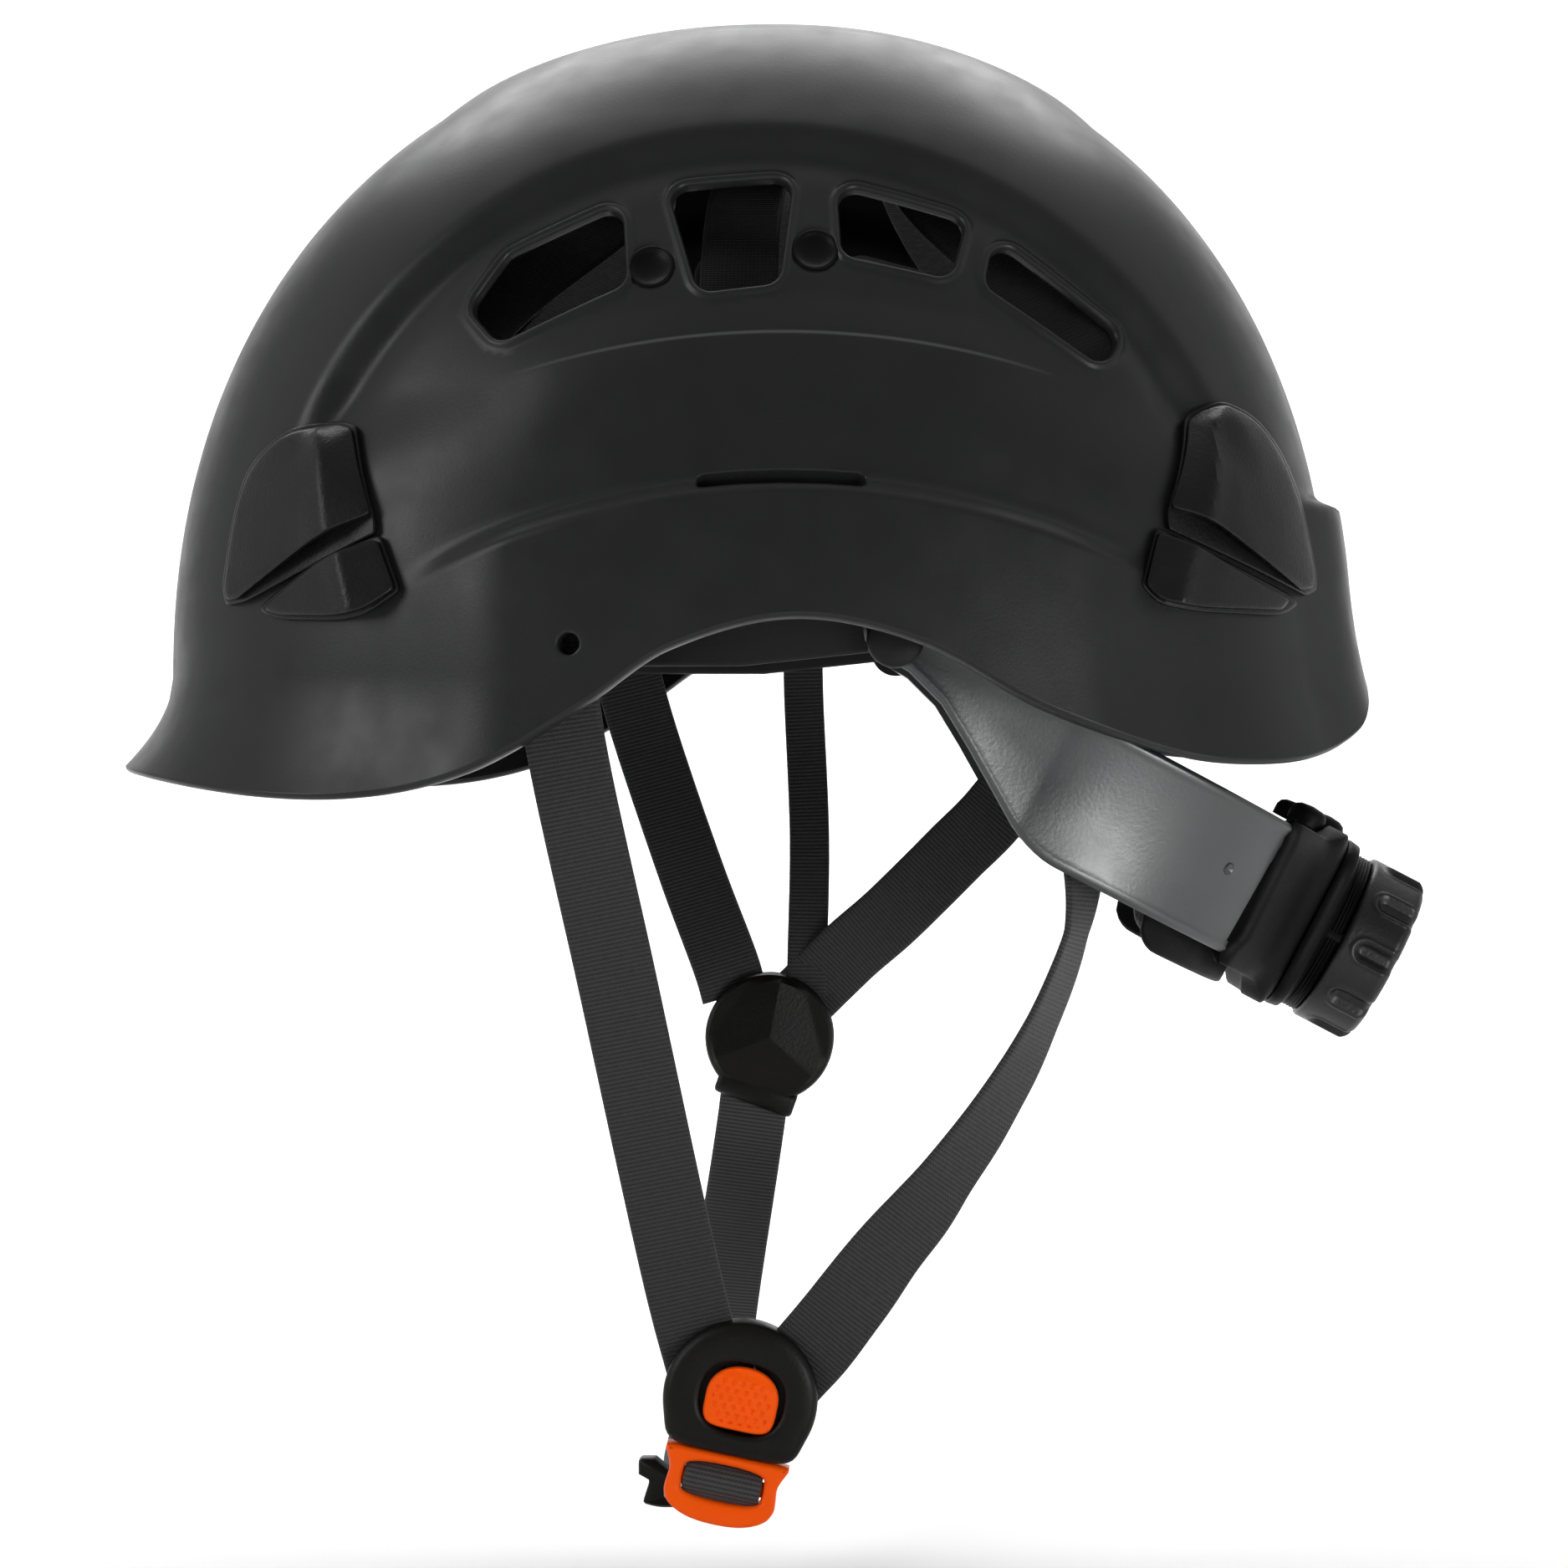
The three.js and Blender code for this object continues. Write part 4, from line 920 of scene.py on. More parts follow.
# ---- lamp clips and cradle plugs -----------------------------------------------------------------------
CLIPS = {
    "front": [
        {"plate": [(-102.5, 69), (-98.3, 69.2), (-93.8, 67.4), (-86.9, 44.6), (-86.9, 41.8), (-119.6, 26.9),
                   (-125, 26.3), (-126.2, 30.9), (-123.9, 46.4), (-120.5, 58.1), (-112.2, 65.5)],
         "edge": [(-121.8, 27.4), (-124.7, 27.6), (-125.2, 31), (-123, 46.3), (-119.6, 57.5), (-111.8, 64.7),
                  (-102.4, 68.2), (-98.5, 68.2), (-94.6, 66.6), (-87.8, 46.2)],
         "slot": [(-98.5, 42.4)], "ridge": [(-102.6, 65.4), (-100.9, 58.5), (-98.5, 42.4)]},
        {"plate": [(-116.6, 25.2), (-100.4, 36.8), (-85.7, 41.6), (-80.8, 28.8), (-89.1, 23.4), (-96.1, 22.2),
                   (-111, 22.8)],
         "edge": [(-86.4, 40.6), (-82, 29.2), (-89.4, 24.4), (-96.2, 23.2), (-110.6, 23.7), (-114.8, 25.3)],
         "low": [[(-86.4, 40.6), (-82, 29.2)], [(-110.6, 23.7), (-114.8, 25.3)]],
         "slot": [(-100.2, 35.6), (-95.8, 37.6)], "ridge": [(-95.8, 37.6), (-92, 23)]},
    ],
    "rear": [
        {"plate": [(100.6, 71.8), (105.4, 73.3), (113.6, 70.3), (120.2, 62.8), (125.5, 51.2), (129.3, 33.5),
                   (129, 30.3), (125.7, 28.7), (91.6, 42.8), (91.1, 46.4), (95.1, 59), (98.5, 70)],
         "edge": [(91.8, 47.8), (95.9, 58.8), (99.2, 69.4), (101, 71), (105.4, 72.4), (113.2, 69.4),
                  (119.4, 62.2), (124.5, 50.9), (128.3, 33.5), (127.6, 30.6), (124.2, 29.8)],
         "slot": [(101.4, 45.2)], "ridge": [(104.6, 68.6), (103.6, 60), (101.4, 45.2)]},
        {"plate": [(88.7, 43.4), (121.3, 29), (123.7, 26.9), (119, 23.8), (98, 24.2), (89, 25.9), (85.1, 30)],
         "edge": [(121.4, 27.6), (118.6, 25.1), (98.2, 25.1), (89.5, 26.7), (86.2, 30.3), (89.2, 42.2)],
         "low": [[(86.2, 30.3), (89.2, 42.2)], [(121.4, 27.6), (118.6, 25.1)]],
         "slot": [(98, 39.2), (108.6, 33.4)], "ridge": [(98, 39.2), (94.2, 25)]},
    ],
}
CLIP_PLATE, CLIP_BROW, CLIP_CREST = 2.1, 3.4, 7.4


def shell_points(flat, sign, height):
    """Points that stand off the dome and, seen from the side, stay over the same outline."""
    height = np.broadcast_to(height, flat[:, 0].shape)
    x, z = flat[:, 0].copy(), flat[:, 1].copy()
    for _ in range(2):
        lean_out = dome_normal(x, sign * side_y(x, z), z)
        x, z = flat[:, 0] - lean_out[:, 0] * height, flat[:, 1] - lean_out[:, 2] * height
    return on_shell(x, sign * side_y(x, z), z, height=height, features=False)


def raised_pad(points, faces, outline, sign, low, height):
    """Adds a pad that stands on the dome from low up to height(x, z), its edge rounded."""
    pitch = 1.1
    ring = even(eased(outline, 1.6), 0.6)
    levels = [(0.0, None), (0.0, -0.55), (0.14, -0.2), (0.5, 0.0)]
    count = len(ring)
    start = len(points)
    for inset, drop in levels:
        rim = inward(ring, inset)
        top = height(rim[:, 0], rim[:, 1])
        add_ring(points, shell_points(rim, sign, low if drop is None else top + drop))
    for s in range(len(levels) - 1):
        for i in range(count):
            a, b = start + s * count + i, start + s * count + (i + 1) % count
            faces.append((a, b, b + count, a + count))
    faces.append(tuple(start + i for i in range(count)))
    gx, gz = np.meshgrid(np.arange(rim[:, 0].min(), rim[:, 0].max(), pitch),
                         np.arange(rim[:, 1].min(), rim[:, 1].max(), pitch))
    gx, gz = gx.ravel(), gz.ravel()
    keep = winding(rim, gx, gz) & (polyline_distance(gx, gz, [*rim, rim[0]]) > 0.6)
    flat = np.concatenate([rim, np.stack([gx[keep], gz[keep]], 1)])
    edges = [(i, (i + 1) % count) for i in range(count)]
    verts, _, tris, origin, _, _ = delaunay_2d_cdt([Vector(p) for p in flat], edges, [], 1, 1e-4)
    flat = np.array([tuple(v) for v in verts])
    lifted = shell_points(flat, sign, height(flat[:, 0], flat[:, 1]))
    last_ring = start + (len(levels) - 1) * count
    place = {}
    for i, came in enumerate(origin):
        ringed = [o for o in came if o < count]
        place[i] = last_ring + ringed[0] if ringed else len(points)
        if not ringed:
            points.append(lifted[i])
    faces += [tuple(place[i] for i in tri) for tri in tris]


def winding(outline, x, z):
    """Which points lie inside a closed outline."""
    inside = np.zeros(np.shape(x), bool)
    for (ax, az), (bx, bz) in zip(outline, np.roll(outline, -1, 0)):
        if az != bz:
            cross = ((az > z) != (bz > z)) & (x < (bx - ax) * (z - az) / (bz - az) + ax)
            inside ^= cross
    return inside


def wedge_height(spec):
    """Flat faces that fall from the ridge to the outer edge, and stay high along the slot."""
    def height(x, z):
        low = [polyline_distance(x, z, line) for line in spec.get("low", [spec["edge"]])]
        e = np.maximum(np.min(low, 0) - 0.4, 0)
        r = polyline_distance(x, z, spec["ridge"])
        return CLIP_BROW + (CLIP_CREST - CLIP_BROW) * e / np.maximum(e + np.maximum(r - 0.35, 0), 1e-3)
    return height


def plate_height(x, z):
    return np.full(np.shape(x), CLIP_PLATE)


def build_clips():
    """The four lamp clips, each of two wedges on thin plates."""
    for where, wedges in CLIPS.items():
        for side, sign in SIDES:
            points, faces = [], []
            for spec in wedges:
                raised_pad(points, faces, spec["plate"], sign, 0.2, plate_height)
                outline = [*spec["edge"], *spec["slot"]]
                raised_pad(points, faces, outline, sign, CLIP_PLATE - 0.4, wedge_height(spec))
            name = f"headlamp_clip_{where}_{side}"
            solid(name + "_wedges", points, faces, MATERIALS["clip"], "helmet", [name], smooth=32)


def build_plugs():
    """The dished heads of the cradle rivets, sunk in the shell."""
    profile = [(5.3, -1.2), (5.3, 0.2), (5.1, 0.42), (4.8, 0.46), (4.5, 0.35), (4.1, 0.05), (3.2, -0.4),
               (1.8, -0.7), (0.3, -0.8)]
    turn = full_turn(40)
    for where, (cx, cz) in PLUGS.items():
        for side, sign in SIDES:
            rings = []
            for radius, height in profile:
                flat = np.stack([cx + radius * np.cos(turn), cz + radius * np.sin(turn)], 1)
                rings.append(shell_points(flat, sign, height))
            name = f"cradle_rivet_{where}_{side}"
            skin(name + "_dish", rings, "rivet", replaces=[name])


# ---- buckle, tongue and divider ------------------------------------------------------------------------
BUTTON_MIDDLE = (0.4, 0.2)


def buckle_ring(flat, y):
    """An outline in the buckle's own directions, y outwards from its middle."""
    return [on_buckle(u, y, v) for u, v in flat]


def superellipse(cx, cz, half_x, half_z, power, count=96):
    """A closed outline between an ellipse (power 2) and a rectangle; power may change with the angle."""
    turn = full_turn(count)
    c, s = np.cos(turn), np.sin(turn)
    r = ((np.abs(c) / half_x) ** power + (np.abs(s) / half_z) ** power) ** (-1 / power)
    return np.stack([cx + r * c, cz + r * s], 1)


def buckle_outline():
    """A disc cut straight across the bottom, its two lower corners slightly drawn out."""
    turn = full_turn(96)
    c, s = np.cos(turn), np.sin(turn)
    r = BUCKLE_RADIUS + 0.9 * np.exp(-((s + 0.62) / 0.16) ** 2)
    floor = 13.2 / np.clip(-s, 0.05, None)
    r = (r ** -16.0 + floor ** -16.0) ** (-1 / 16)
    return np.stack([r * c, r * s], 1)


def button_outline(half_x, half_z):
    """A D on its side: round above, flatter below."""
    count = 180
    power = np.where(np.sin(full_turn(count)) > 0, 2.15, 4.6)
    return superellipse(*BUTTON_MIDDLE, half_x, half_z, power, count)


def build_buckle():
    """The female half: two shells, the front one with a window for the button."""
    outer = buckle_outline()
    window = superellipse(*BUTTON_MIDDLE, 9.7, 8.25, 2.5)
    rings = [(outer, -0.2), (outer, -3.7), (inward(outer, 0.35), -4.5),
             (inward(outer, 1.1), -5.2), (inward(outer, 1.9), -5.55), (inward(outer, 3.4), -5.75),
             (inward(window, -1.5), -5.95), (inward(window, -0.7), -5.8), (inward(window, -0.15), -5.3),
             (window, -4.6), (window, -1.4)]
    skin("buckle_front_shell", [buckle_ring(f, y) for f, y in rings], "buckle",
         replaces=["buckle_front"], smooth=60)
    rings = [(inward(outer, 0.15), 0.1), (inward(outer, 0.15), 3.6), (inward(outer, 0.9), 4.7),
             (inward(outer, 2.6), 5.2), (inward(outer, 9), 5.25)]
    skin("buckle_back_shell", [buckle_ring(f, y) for f, y in rings], "buckle",
         replaces=["buckle_back"], smooth=60)
    build_button()
    build_tongue()


def build_button():
    """The release button: a low dome with staggered dimples and a crescent scooped out near its top."""
    rim = button_outline(8.4, 7.35)
    rings = [buckle_ring(rim, -4.1), buckle_ring(rim, -4.9), buckle_ring(inward(rim, 0.25), -5.5)]
    middle = np.array(BUTTON_MIDDLE)
    pitch, row_pitch = 2.2, 1.9
    for share in np.linspace(0.94, 0.02, 44):
        flat = middle + (rim - middle) * share
        rise = 0.5 * (1 - share**2)
        row = np.round(flat[:, 1] / row_pitch)
        column = (flat[:, 0] - pitch / 2 * (row % 2)) / pitch
        near = np.hypot(column - np.round(column), (flat[:, 1] / row_pitch - row) * 0.86) * pitch
        dimple = 0.42 * (1 - smoothstep(0.3, 0.75, near)) * (share < 0.8) * (flat[:, 1] < 4.6)
        crescent = 0.5 * smoothstep(4.2, 6.2, flat[:, 1] + 0.12 * flat[:, 0])
        rings.append([on_buckle(u, -5.75 - r, v) for (u, v), r in zip(flat, rise - dimple - crescent)])
    skin("buckle_button_cap", rings, "orange", "button", ["buckle_button"], smooth=50)


def build_tongue():
    """The male half: a frame the strap is sewn round, with a bar and a blade."""
    half = [(0, -13.4), (7, -13.4), (14.2, -13.4), (14.7, -14.2), (13.4, -16.6), (12.5, -19), (12.9, -22),
            (13.1, -24.4), (11.4, -27.4), (6.5, -29.6), (0, -30.1)]
    frame_outline = [*half[1:-1], half[-1], *((-u, v) for u, v in half[-2:0:-1]), half[0]]
    gap = [(-9.4, -16), (9.4, -16), (9.4, -20), (9.4, -24.8), (-9.4, -24.8), (-9.4, -20)]
    centre = (0.0, -21.0)
    out = ray_outline(softened(frame_outline), centre, 120)
    gap = ray_outline(softened(gap), centre, 120)
    levels = [(inward(out, 0.6), 3.3), (out, 2.6), (out, -1.9), (inward(out, 0.2), -2.6),
              (inward(out, 0.75), -3.1), (inward(out, 1.2), -3.2), (inward(gap, -1.0), -3.0),
              (inward(gap, -0.4), -2.7), (gap, -1.9), (gap, 2.6), (inward(gap, -0.5), 3.3)]
    skin("tongue_frame", [buckle_ring(f, y) for f, y in levels], "orange", "tongue", ["buckle_tongue"],
         smooth=60, loop=True)
    blade = round_box(-8.4, 8.4, -15.5, 0.4, 2.0)
    edge = inward(blade, 0.3)
    levels = [(edge, 0.3), (blade, 0.6), (blade, 1.8), (edge, 2.1)]
    skin("tongue_blade", [buckle_ring(f, y) for f, y in levels], "orange", "tongue")
    bar = [(1.8 * math.cos(a), 1.8 * math.sin(a)) for a in full_turn(20)]
    skin("tongue_bar", [[on_buckle(u, 0.4 + b, -20.2 + a) for a, b in bar] for u in (-10.4, -3, 3, 10.4)],
         "orange", "tongue")


def build_divider():
    """The divider: two domed caps with three flat slopes each, and the socket the chin strap enters."""
    dx, dy, dz = DIVIDER_AT
    turn = full_turn(96)
    circle = np.stack([np.cos(turn), np.sin(turn)], 1)
    slopes = [(-0.80, 0.60), (0.97, 0.25), (-0.15, -0.99)]
    for name, sign in (("divider_front", -1), ("divider_back", 1)):
        rings = []
        for inset, depth in ((0.0, 1.6), (0.0, 3.1), (0.4, 3.9), (1.1, 4.3)):
            flat = circle * (DIVIDER_RADIUS - inset)
            rings.append([(dx + u, dy + sign * depth, dz + v) for u, v in flat])
        for radius in np.linspace(15.0, 0.3, 30):
            flat = circle * radius - np.array([0.5, 2.2]) * (1 - radius / 15.9)
            fall = np.max([flat[:, 0] * a + flat[:, 1] * b for a, b in slopes], 0)
            rise = np.clip(2.6 * (1 - fall / 12.5), 0, None)
            rings.append([(dx + u, dy + sign * (4.35 + h), dz + v) for (u, v), h in zip(flat, rise)])
        skin(name + "_cap", rings, "buckle", "divider", [name], smooth=18)
    a = math.radians(-20)
    along, up = (math.cos(a), math.sin(a)), (-math.sin(a), math.cos(a))
    section = round_box(-4.4, 4.4, -3.4, 3.4, 2.2)
    rings = []
    for share, scale in ((-1, 0.75), (-0.96, 0.93), (-0.88, 1), (0.88, 1), (0.96, 0.93), (1, 0.75)):
        x, z = dx - 3.6 + along[0] * 10.8 * share, dz - 14.6 + along[1] * 10.8 * share
        rings.append([(x + up[0] * w * scale, dy + v * scale, z + up[1] * w * scale) for v, w in section])
    skin("divider_socket", rings, "buckle", "divider", smooth=60)


def build_keeper():
    """The keeper: a sleeve round the chin strap with a stepped grip at its front end."""
    x, y, z = KEEPER_AT
    grip = [(11.8, -3.4), (11.8, 3.6), (-10, 3.8), (-11, 8.0), (-15.7, 8.0), (-15.7, 3.6), (-13.3, 3.3),
            (-13.2, 2.4), (-14.8, -2.6), (-11, -3.6)]
    centre = (-3.0, 0.2)
    outer = ray_outline(eased(grip, 0.9), centre, 120)
    inner = ray_outline(round_box(-9.7, 9.7, -1.3, 1.3, 0.6), centre, 120)
    rings = []
    for flat, along in ((inner, -2.6), (inward(outer, 0.5), -3.0), (outer, -2.4), (outer, 2.4),
                        (inward(outer, 0.5), 3.0), (inner, 2.6)):
        rings.append([(x + u, y + along, z + v) for u, v in flat])
    skin("strap_keeper_band", rings, "buckle", "keeper", ["strap_keeper"], smooth=60, loop=True)


# ---- nape frame ----------------------------------------------------------------------------------------
def nape_point(d, y, n):
    """A point given in the tilted nape frame: d back from the pivots, n square to the arms."""
    a = math.radians(NAPE_TILT)
    return (NAPE_X + d * math.cos(a) + n * math.sin(a), y, NAPE_Z - d * math.sin(a) + n * math.cos(a))


def arm_low(d):
    """The arm's lower edge: narrow at the pivot, deep behind the ear."""
    return -5.0 - 24.2 * float(smoothstep(4, 56, d))


def arm_high(d):
    return 5.0 + 2 * (1 - float(smoothstep(0, 30, d)))


def build_arms():
    """The two side arms: bands with a rolled edge, straight at the pivots, then curving round the nape."""
    path = [(-9, 84), (-6, 83.8), (-3, 83.6), (6, 82.8), (16, 81.6), (26, 80.2)]
    for k in range(37):
        a = math.radians(88 - 66 * k / 36)
        path.append((NAPE_CENTRE + NAPE_BEND * math.cos(a), NAPE_BEND * math.sin(a)))
    for side, sign in SIDES:
        rings = []
        for i, (d, y) in enumerate(path):
            (ad, ay), (bd, by) = path[max(i - 1, 0)], path[min(i + 1, len(path) - 1)]
            size = math.hypot(bd - ad, by - ay)
            out = (-(by - ay) / size, (bd - ad) / size)
            inset = (5.0, 1.6, 0.4)[i] if i < 3 else 0.0
            low, high = arm_low(d) + inset, arm_high(d) - inset
            ring = []
            edge = ((0.0, 0.55), (0.5, 1.15), (1.2, 1.45), (2.2, 1.2), (3.4, 0.9))
            for n, half in (*((low + up, half) for up, half in edge), ((low + high) / 2, 0.9),
                            *((high - down, half) for down, half in reversed(edge))):
                ring.append((d + out[0] * half, y + out[1] * half, n))
            ring += [(d - out[0] * 0.9, y - out[1] * 0.9, n) for n in np.linspace(high - 0.3, low + 0.3, 8)]
            rings.append([nape_point(p, sign * q, n) for p, q, n in ring])
        name = f"nape_arm_{side}"
        skin(name + "_band", rings, "arm", "nape_frame", [name], smooth=50)
        dot = []
        a = math.asin(56 / NAPE_BEND)
        for radius, lift in ((1.5, -0.3), (1.5, 1.0), (1.15, 1.25), (0.7, 1.0), (0.2, 0.7)):
            ring = []
            for t in full_turn(20):
                turn = a + radius * math.cos(t) / NAPE_BEND
                reach = NAPE_BEND + lift
                ring.append(nape_point(NAPE_CENTRE + reach * math.cos(turn), sign * reach * math.sin(turn),
                                       -11 + radius * math.sin(t)))
            dot.append(ring)
        skin(f"nape_arm_stud_{side}", dot, "arm", "nape_frame", smooth=60)


def ring_band(name, radius, half_thick, turn, low, high, slot, round_by, replaces, waves=0.0):
    """A curved band around the nape centre; its ends are rounded and it can swell along its length."""
    rings = []
    steps, taper = 64, 9.0
    middle = (low + high) / 2
    for k in range(steps + 1):
        share = -1 + 2 * k / steps
        a = math.radians(turn) * share
        left = (1 - abs(share)) * math.radians(turn) * radius
        close = 1.0 if left > taper else math.sqrt(max(1 - (1 - left / taper) ** 2, 0.0009))
        swell = half_thick * close * (1 + waves * math.cos(share * math.pi * 6))
        width = 0.45 + 0.55 * close
        section = round_box(-swell, swell, middle + (low - middle) * width, middle + (high - middle) * width,
                            min(round_by, swell * 0.98))
        rings.append([nape_point(NAPE_CENTRE + (radius + u) * math.cos(a), (radius + u) * math.sin(a), n)
                      for u, n in section])
    return skin(name, rings, slot, "nape_frame", replaces, smooth=60)


def build_housing():
    """The adjuster body: a block behind the head whose two wings run out over the arms to a wavy edge."""
    rows = 56
    inner, middle, wing_face = 73.4, 77.0, 79.6
    section = round_box(0, 1, 0, 1, 0.22, 7)
    rings = []
    for k in range(rows + 1):
        share = -1 + 2 * k / rows
        size = abs(share)
        wing = float(smoothstep(0.42, 0.62, size))
        low = -36.0 + 4.5 * wing
        high = 9.5 - 3.4 * wing
        end = 1.0 if size < 0.97 else math.sqrt(max(1 - ((size - 0.97) / 0.03) ** 2, 0)) * 0.8 + 0.2
        ring = []
        for u, v in section:
            n = low + (high - low) * v
            wave = 1.6 * math.sin(v * 9.0 + 0.6) + 0.8 * math.sin(v * 21.0)
            turn = math.radians(36.0 + wave * size) * share
            block = (119.0 - NAPE_CENTRE) / math.cos(min(abs(turn), 0.33))
            outer = block + (wing_face - block) * wing
            reach = inner + (outer - inner) * u
            reach = middle + (reach - middle) * (end if wing > 0.99 else 1)
            ring.append(nape_point(NAPE_CENTRE + reach * math.cos(turn), reach * math.sin(turn), n))
        rings.append(ring)
    skin("ratchet_housing_body", rings, "nape_plastic", "nape_frame", ["ratchet_housing"], smooth=60)
    for k, (y, d) in enumerate(((-19.0, 107.0), (19.0, 107.0), (-12.0, 112.5), (12.0, 112.5))):
        rings = []
        for radius, top in ((4.6, 7.0), (4.6, 9.6), (4.0, 10.8), (2.8, 11.5), (0.4, 11.8)):
            rings.append([nape_point(d + radius * math.cos(t), y + radius * math.sin(t), top)
                          for t in full_turn(28)])
        skin(f"ratchet_boss_{k}", rings, "nape_plastic", "nape_frame", smooth=60)


def build_cover():
    """The cover: square towards the housing, round and finely ribbed towards the knob."""
    square = superellipse(0, -13.2, 24.4, 22.2, 5.0)
    circle = superellipse(0, AXIS_N, 20.6, 20.6, 2.0)
    stages = [(119.2, 0.0, -0.4), (120.0, 0.0, 0.0), (122.2, 0.1, 0.0), (123.4, 0.55, -0.2),
              (124.2, 0.95, -0.2)]
    stages += [(124.5 + 0.4 * k, 1.0, (-0.45, -0.15)[k % 2]) for k in range(8)]
    stages += [(127.5, 1.0, -1.2), (127.75, 1.0, -1.6)]
    rings = []
    for d, share, grow in stages:
        flat = inward(square * (1 - share) + circle * share, -grow)
        rings.append([nape_point(d, y, n) for y, n in flat])
    skin("ratchet_cover_body", rings, "nape_plastic", "nape_frame", ["ratchet_cover"], smooth=60)


def build_knob():
    """The knob: a smooth cylinder with scooped grips that open towards its outer face."""
    turn = full_turn(540)
    rows = [(127.8, 19.4), (127.8, 20.8), (128.1, 21.2), (128.6, KNOB_RADIUS)]
    rows += [(d, KNOB_RADIUS) for d in np.linspace(129.3, 140.2, 26)]
    rows += [(140.8, 21.25), (141.4, 20.8), (141.9, 20.2), (142.2, 19.5), (142.3, 18.6)]
    rings = []
    near = (turn * KNOB_GRIPS / (2 * math.pi) + 0.5) % 1 - 0.5
    sideways = near * 2 * math.pi / KNOB_GRIPS * KNOB_RADIUS
    for d, radius in rows:
        back = np.maximum(134.0 - d, 0)
        gap = np.hypot(sideways, back) - 2.5
        scoop = 1.5 * (1 - smoothstep(-1.6, 0.35, gap))
        lip = 0.22 * np.exp(-((gap - 0.6) / 0.45) ** 2) * (d > 130) * (d < 140.5)
        reach = radius - scoop + lip
        rings.append([nape_point(d, r * math.cos(a), AXIS_N + r * math.sin(a)) for r, a in zip(reach, turn)])
    for d, radius in ((142.2, 17.6), (141.0, 16.8), (140.4, 15.6), (140.2, 8.0), (140.2, 0.4)):
        rings.append([nape_point(d, radius * math.cos(a), AXIS_N + radius * math.sin(a)) for a in turn])
    skin("knob_grip", rings, "knob", "knob", ["knob"], smooth=60)


def build_nape():
    build_arms()
    build_housing()
    build_cover()
    build_knob()
    ring_band("nape_support_band", 67.0, 1.2, 53.0, -36.6, -8.0, "nape_plastic", 1.1, ["nape_support"])
    pad = ring_band("nape_pad_cushion", 63.2, 2.6, 45.0, -35.0, -9.0, "foam", 2.5, ["nape_pad"], waves=0.06)


# ---- headband and cradle -------------------------------------------------------------------------------
def band_ring(offset, reach, steps):
    """Half an oval round the brow, reach degrees to each side of the front."""
    points = []
    for i in range(steps + 1):
        a = math.radians(180 + reach - 2 * reach * i / steps)
        ahead = abs(math.cos(a)) ** 0.9 * math.copysign(1, math.cos(a))
        points.append((ahead * (97 + offset), math.sin(a) * (79 + offset)))
    return points


def band(name, offset, thick, reach, low, high, slot, replaces, tail=0.0, swell=0.0):
    """A band round the brow; a tail runs its ends straight back, and swell cushions its inner face."""
    steps = 72
    inner, outer = band_ring(offset, reach, steps), band_ring(offset + thick, reach, steps)
    if tail:
        inner = [(tail, inner[0][1]), *inner, (tail, inner[-1][1])]
        outer = [(tail, outer[0][1]), *outer, (tail, outer[-1][1])]
    rings = []
    for i, ((ax, ay), (bx, by)) in enumerate(zip(inner, outer)):
        at = i / (len(inner) - 1)
        bulge = swell * abs(math.sin(at * math.pi * 5)) ** 0.5
        trim = 5.0 if tail and i in (0, len(inner) - 1) else 0.0
        close = min(1.0, 0.35 + min(at, 1 - at) * 12) if swell else 1.0
        half = (high - low) / 2 * close
        section = round_box(-bulge, thick, trim - half, half - trim / 2, min(0.45 * thick, 2.2))
        run = math.hypot(bx - ax, by - ay)
        out = (bx - ax) / run, (by - ay) / run
        rings.append([(ax + out[0] * u, ay + out[1] * u, (low + high) / 2 + v) for u, v in section])
    return skin(name, rings, slot, "helmet", replaces, smooth=60)


def build_cradle():
    """The headband with its brow pad, and three straps over the head with a lug at each end."""
    band("headband_rim", 0.0, 1.8, 88, 12.0, 44.0, "inner_plastic", ["headband_front"], tail=42.0)
    band("brow_pad_cushion", -5.3, 5.0, 48, 14.0, 42.0, "foam", ["brow_pad"], swell=1.4)
    plan = round_box(-12, 12, -4, 4, 2.6)
    routes = {"front": (-75, 75.8), "middle": (-6, 90), "rear": (77, 71.5)}
    for level, (where, (x, y)) in enumerate(routes.items()):
        top = 129 + 2 * level
        bend = x if where == "middle" else x * 0.55
        points = [(x, -y, 50.2), (x * 0.95, -y * 0.94, 82), (bend, -y * 0.45, top - 14), (bend * 0.8, 0, top),
                  (bend, y * 0.45, top - 14), (x * 0.95, y * 0.94, 82), (x, y, 50.2)]
        # The straps inside the shell use the darker webbing copy, painted shade.
        ribbon(f"cradle_strap_{where}", points, [(1, 0, 0), (1, 0, 0)], thick=1.2, cloth="cradle_webbing_painted_shade")
        for side, sign in SIDES:
            rings = []
            for inset, z in ((0.9, 34.0), (0.1, 34.8), (0.0, 36.5), (0.0, 47.0), (0.3, 48.8), (1.1, 49.7)):
                rings.append([(x + u, sign * y + v, z) for u, v in inward(plan, inset)])
            name = f"cradle_lug_{where}_{side}"
            skin(name + "_block", rings, "inner_plastic", replaces=[name], smooth=60)


def turned(x, z, sign, profile, count):
    """Rings of a turned part whose axis runs sideways, from its radius at each distance from the middle."""
    return [[(x + radius * math.cos(t), sign * y, z + radius * math.sin(t)) for t in full_turn(count)]
            for radius, y in profile]


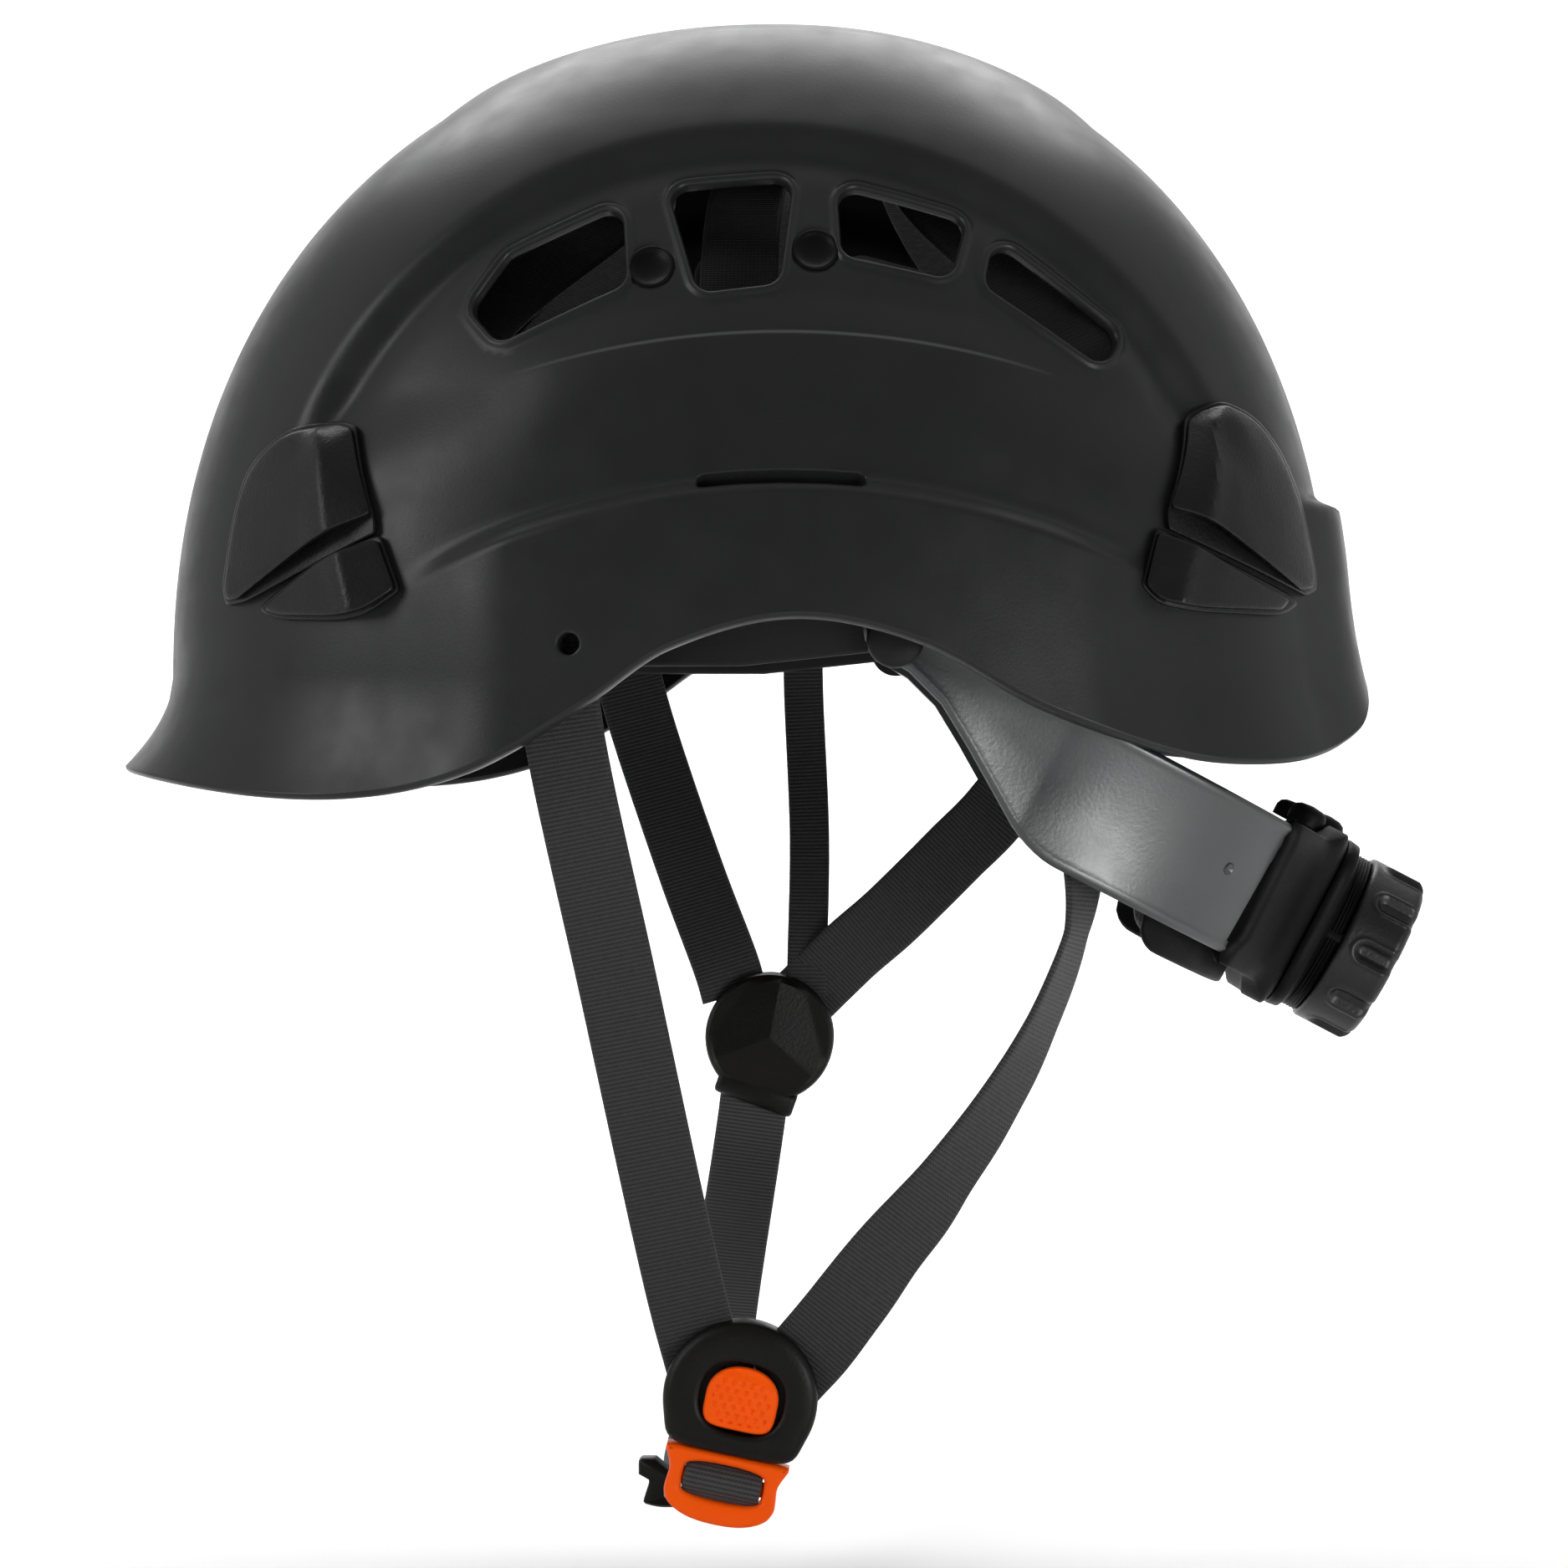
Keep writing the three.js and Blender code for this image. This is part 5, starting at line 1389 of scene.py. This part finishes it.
def build_fittings():
    """Strap anchors, nape pivots and the eye shield inserts."""
    plate = round_box(-12, 12, -9, 9, 2.4)
    edge = inward(plate, 0.5)
    gap = round_box(-9.5, 9.5, -6.2, -1.8, 1.0)
    levels = [(edge, 0.0), (plate, 0.5), (plate, 2.1), (edge, 2.6), (gap, 2.6), (gap, 0.0)]
    pin = ((3.0, 81.4), (3.0, 85.1), (6.4, 85.2), (6.5, 85.6), (6.3, 86.6), (5.6, 87.2), (2.0, 87.4))
    bush = ((4.4, 94.0), (4.4, 96.9), (4.1, 97.1), (2.6, 97.1), (2.3, 96.7), (2.2, 94.3), (2.6, 94.0))
    for side, sign in SIDES:
        for where, x, z, near in (("front", -46, 24, 88.6), ("rear", 71, 24, 76)):
            name = f"strap_anchor_{where}_{side}"
            skin(name + "_plate", [[(x + u, sign * (near + h), z + v) for u, v in f] for f, h in levels],
                 "inner_plastic", replaces=[name], smooth=50, loop=True)
        skin(f"nape_pivot_{side}_pin", turned(NAPE_X, NAPE_Z, sign, pin, 40), "inner_plastic",
             replaces=[f"nape_pivot_{side}"], smooth=50)
        skin(f"visor_insert_{side}_bush", turned(VISOR[0], VISOR[1], sign, bush, 32), "insert",
             replaces=[f"visor_insert_{side}"], smooth=50, loop=True)


# ---- studio --------------------------------------------------------------------------------------------
def build_studio():
    """A white floor that curves up into a wall, in metres; it clears the straps in every pose."""
    size, wall_from, bend, wall_top, clearance = 6.0, 1.6, 1.2, 5.0, 0.024
    floor_z = cad_box[0][2] - clearance
    steps = 24
    profile = [(-size, 0.0), (wall_from, 0.0)]
    for k in range(1, steps + 1):
        a = math.pi / 2 * k / steps
        profile.append((wall_from + bend * math.sin(a), bend - bend * math.cos(a)))
    profile.append((wall_from + bend, wall_top))
    points = []
    for y, z in profile:
        points += [(-size, y, z + floor_z), (size, y, z + floor_z)]
    faces = [(2 * i, 2 * i + 1, 2 * i + 3, 2 * i + 2) for i in range(len(profile) - 1)]
    mesh = bpy.data.meshes.new("backdrop")
    mesh.from_pydata(points, [], faces)
    mesh.shade_smooth()
    backdrop = bpy.data.objects.new("backdrop", mesh)
    bpy.context.scene.collection.objects.link(backdrop)
    material, _, shader = nodes_of("backdrop_paper")
    shader.inputs["Base Color"].default_value = (0.92, 0.92, 0.92, 1)
    shader.inputs["Roughness"].default_value = 0.9
    mesh.materials.append(material)
    build_sky()
    bpy.context.scene.view_settings.view_transform = "Standard"


def build_sky():
    """A white room that is dim on the camera's side and bright behind the helmet."""
    world = bpy.data.worlds.new("studio")
    world.use_nodes = True
    tree = world.node_tree
    where = tree.nodes.new("ShaderNodeTexCoord")
    split = tree.nodes.new("ShaderNodeSeparateXYZ")
    grade = tree.nodes.new("ShaderNodeMapRange")
    grade.inputs["From Min"].default_value = -0.8
    grade.inputs["From Max"].default_value = 0.9
    grade.inputs["To Min"].default_value = 0.16
    grade.inputs["To Max"].default_value = 1.0
    tree.links.new(where.outputs["Generated"], split.inputs["Vector"])
    tree.links.new(split.outputs["Y"], grade.inputs["Value"])
    tree.links.new(grade.outputs["Result"], tree.nodes["Background"].inputs["Strength"])
    tree.nodes["Background"].inputs["Color"].default_value = (1, 1, 1, 1)
    bpy.context.scene.world = world


def add_light(name, where, target, size, power):
    light = bpy.data.lights.new(name, "AREA")
    light.shape = "RECTANGLE"
    light.size, light.size_y = size
    light.energy = power
    lamp = bpy.data.objects.new(name, light)
    lamp.location = where
    lamp.rotation_euler = (Vector(target) - Vector(where)).to_track_quat("-Z", "Y").to_euler()
    bpy.context.scene.collection.objects.link(lamp)


def build_lights():
    """A soft light above and behind, a weak key, a low glint on the knob and a wash on the wall."""
    add_light("top_softbox", (-0.05, 0.75, 1.15), (0, 0, 0.1), (1.5, 0.7), 16.0)
    add_light("key_left", (-1.35, -0.8, 0.6), (-0.05, 0, 0.05), (0.6, 0.9), 9.0)
    add_light("low_right", (0.5, -0.55, -0.1), (0.1, -0.08, -0.01), (0.34, 0.15), 1.7)
    add_light("backdrop_wash", (0, 0.9, 1.3), (0, 2.8, 0.2), (2.6, 0.8), 60.0)


def build_camera():
    """The viewpoint: level, square to the helmet's side, a metre from the median plane."""
    camera = bpy.data.cameras.new("camera")
    camera.lens = 93.4
    camera.sensor_width = 36.0
    view = bpy.data.objects.new("camera", camera)
    view.location = (0.0308, -1.0, 0.0)
    aim = Vector((0.0026, 0.0, -0.0159))
    view.rotation_euler = (aim - view.location).to_track_quat("-Z", "Y").to_euler()
    bpy.context.scene.collection.objects.link(view)
    bpy.context.scene.camera = view


def finish_frame_nodes():
    """CAD nodes that stay as they are get their slot's material; the cover's screws are blackened."""
    slots = {part["node"]: part["material_slot"] for part in frame["record"]["subparts"]}
    for name, node in frame["nodes"].items():
        node.data.materials.clear()
        dark = name.startswith("cover_screw")
        node.data.materials.append(MATERIALS["rivet" if dark else slots[name]])


build_camera()
build_studio()
build_lights()
finish_frame_nodes()
build_shell()
build_clips()
build_plugs()
build_cradle()
build_fittings()
build_nape()
build_straps()
build_buckle()
build_divider()
build_keeper()
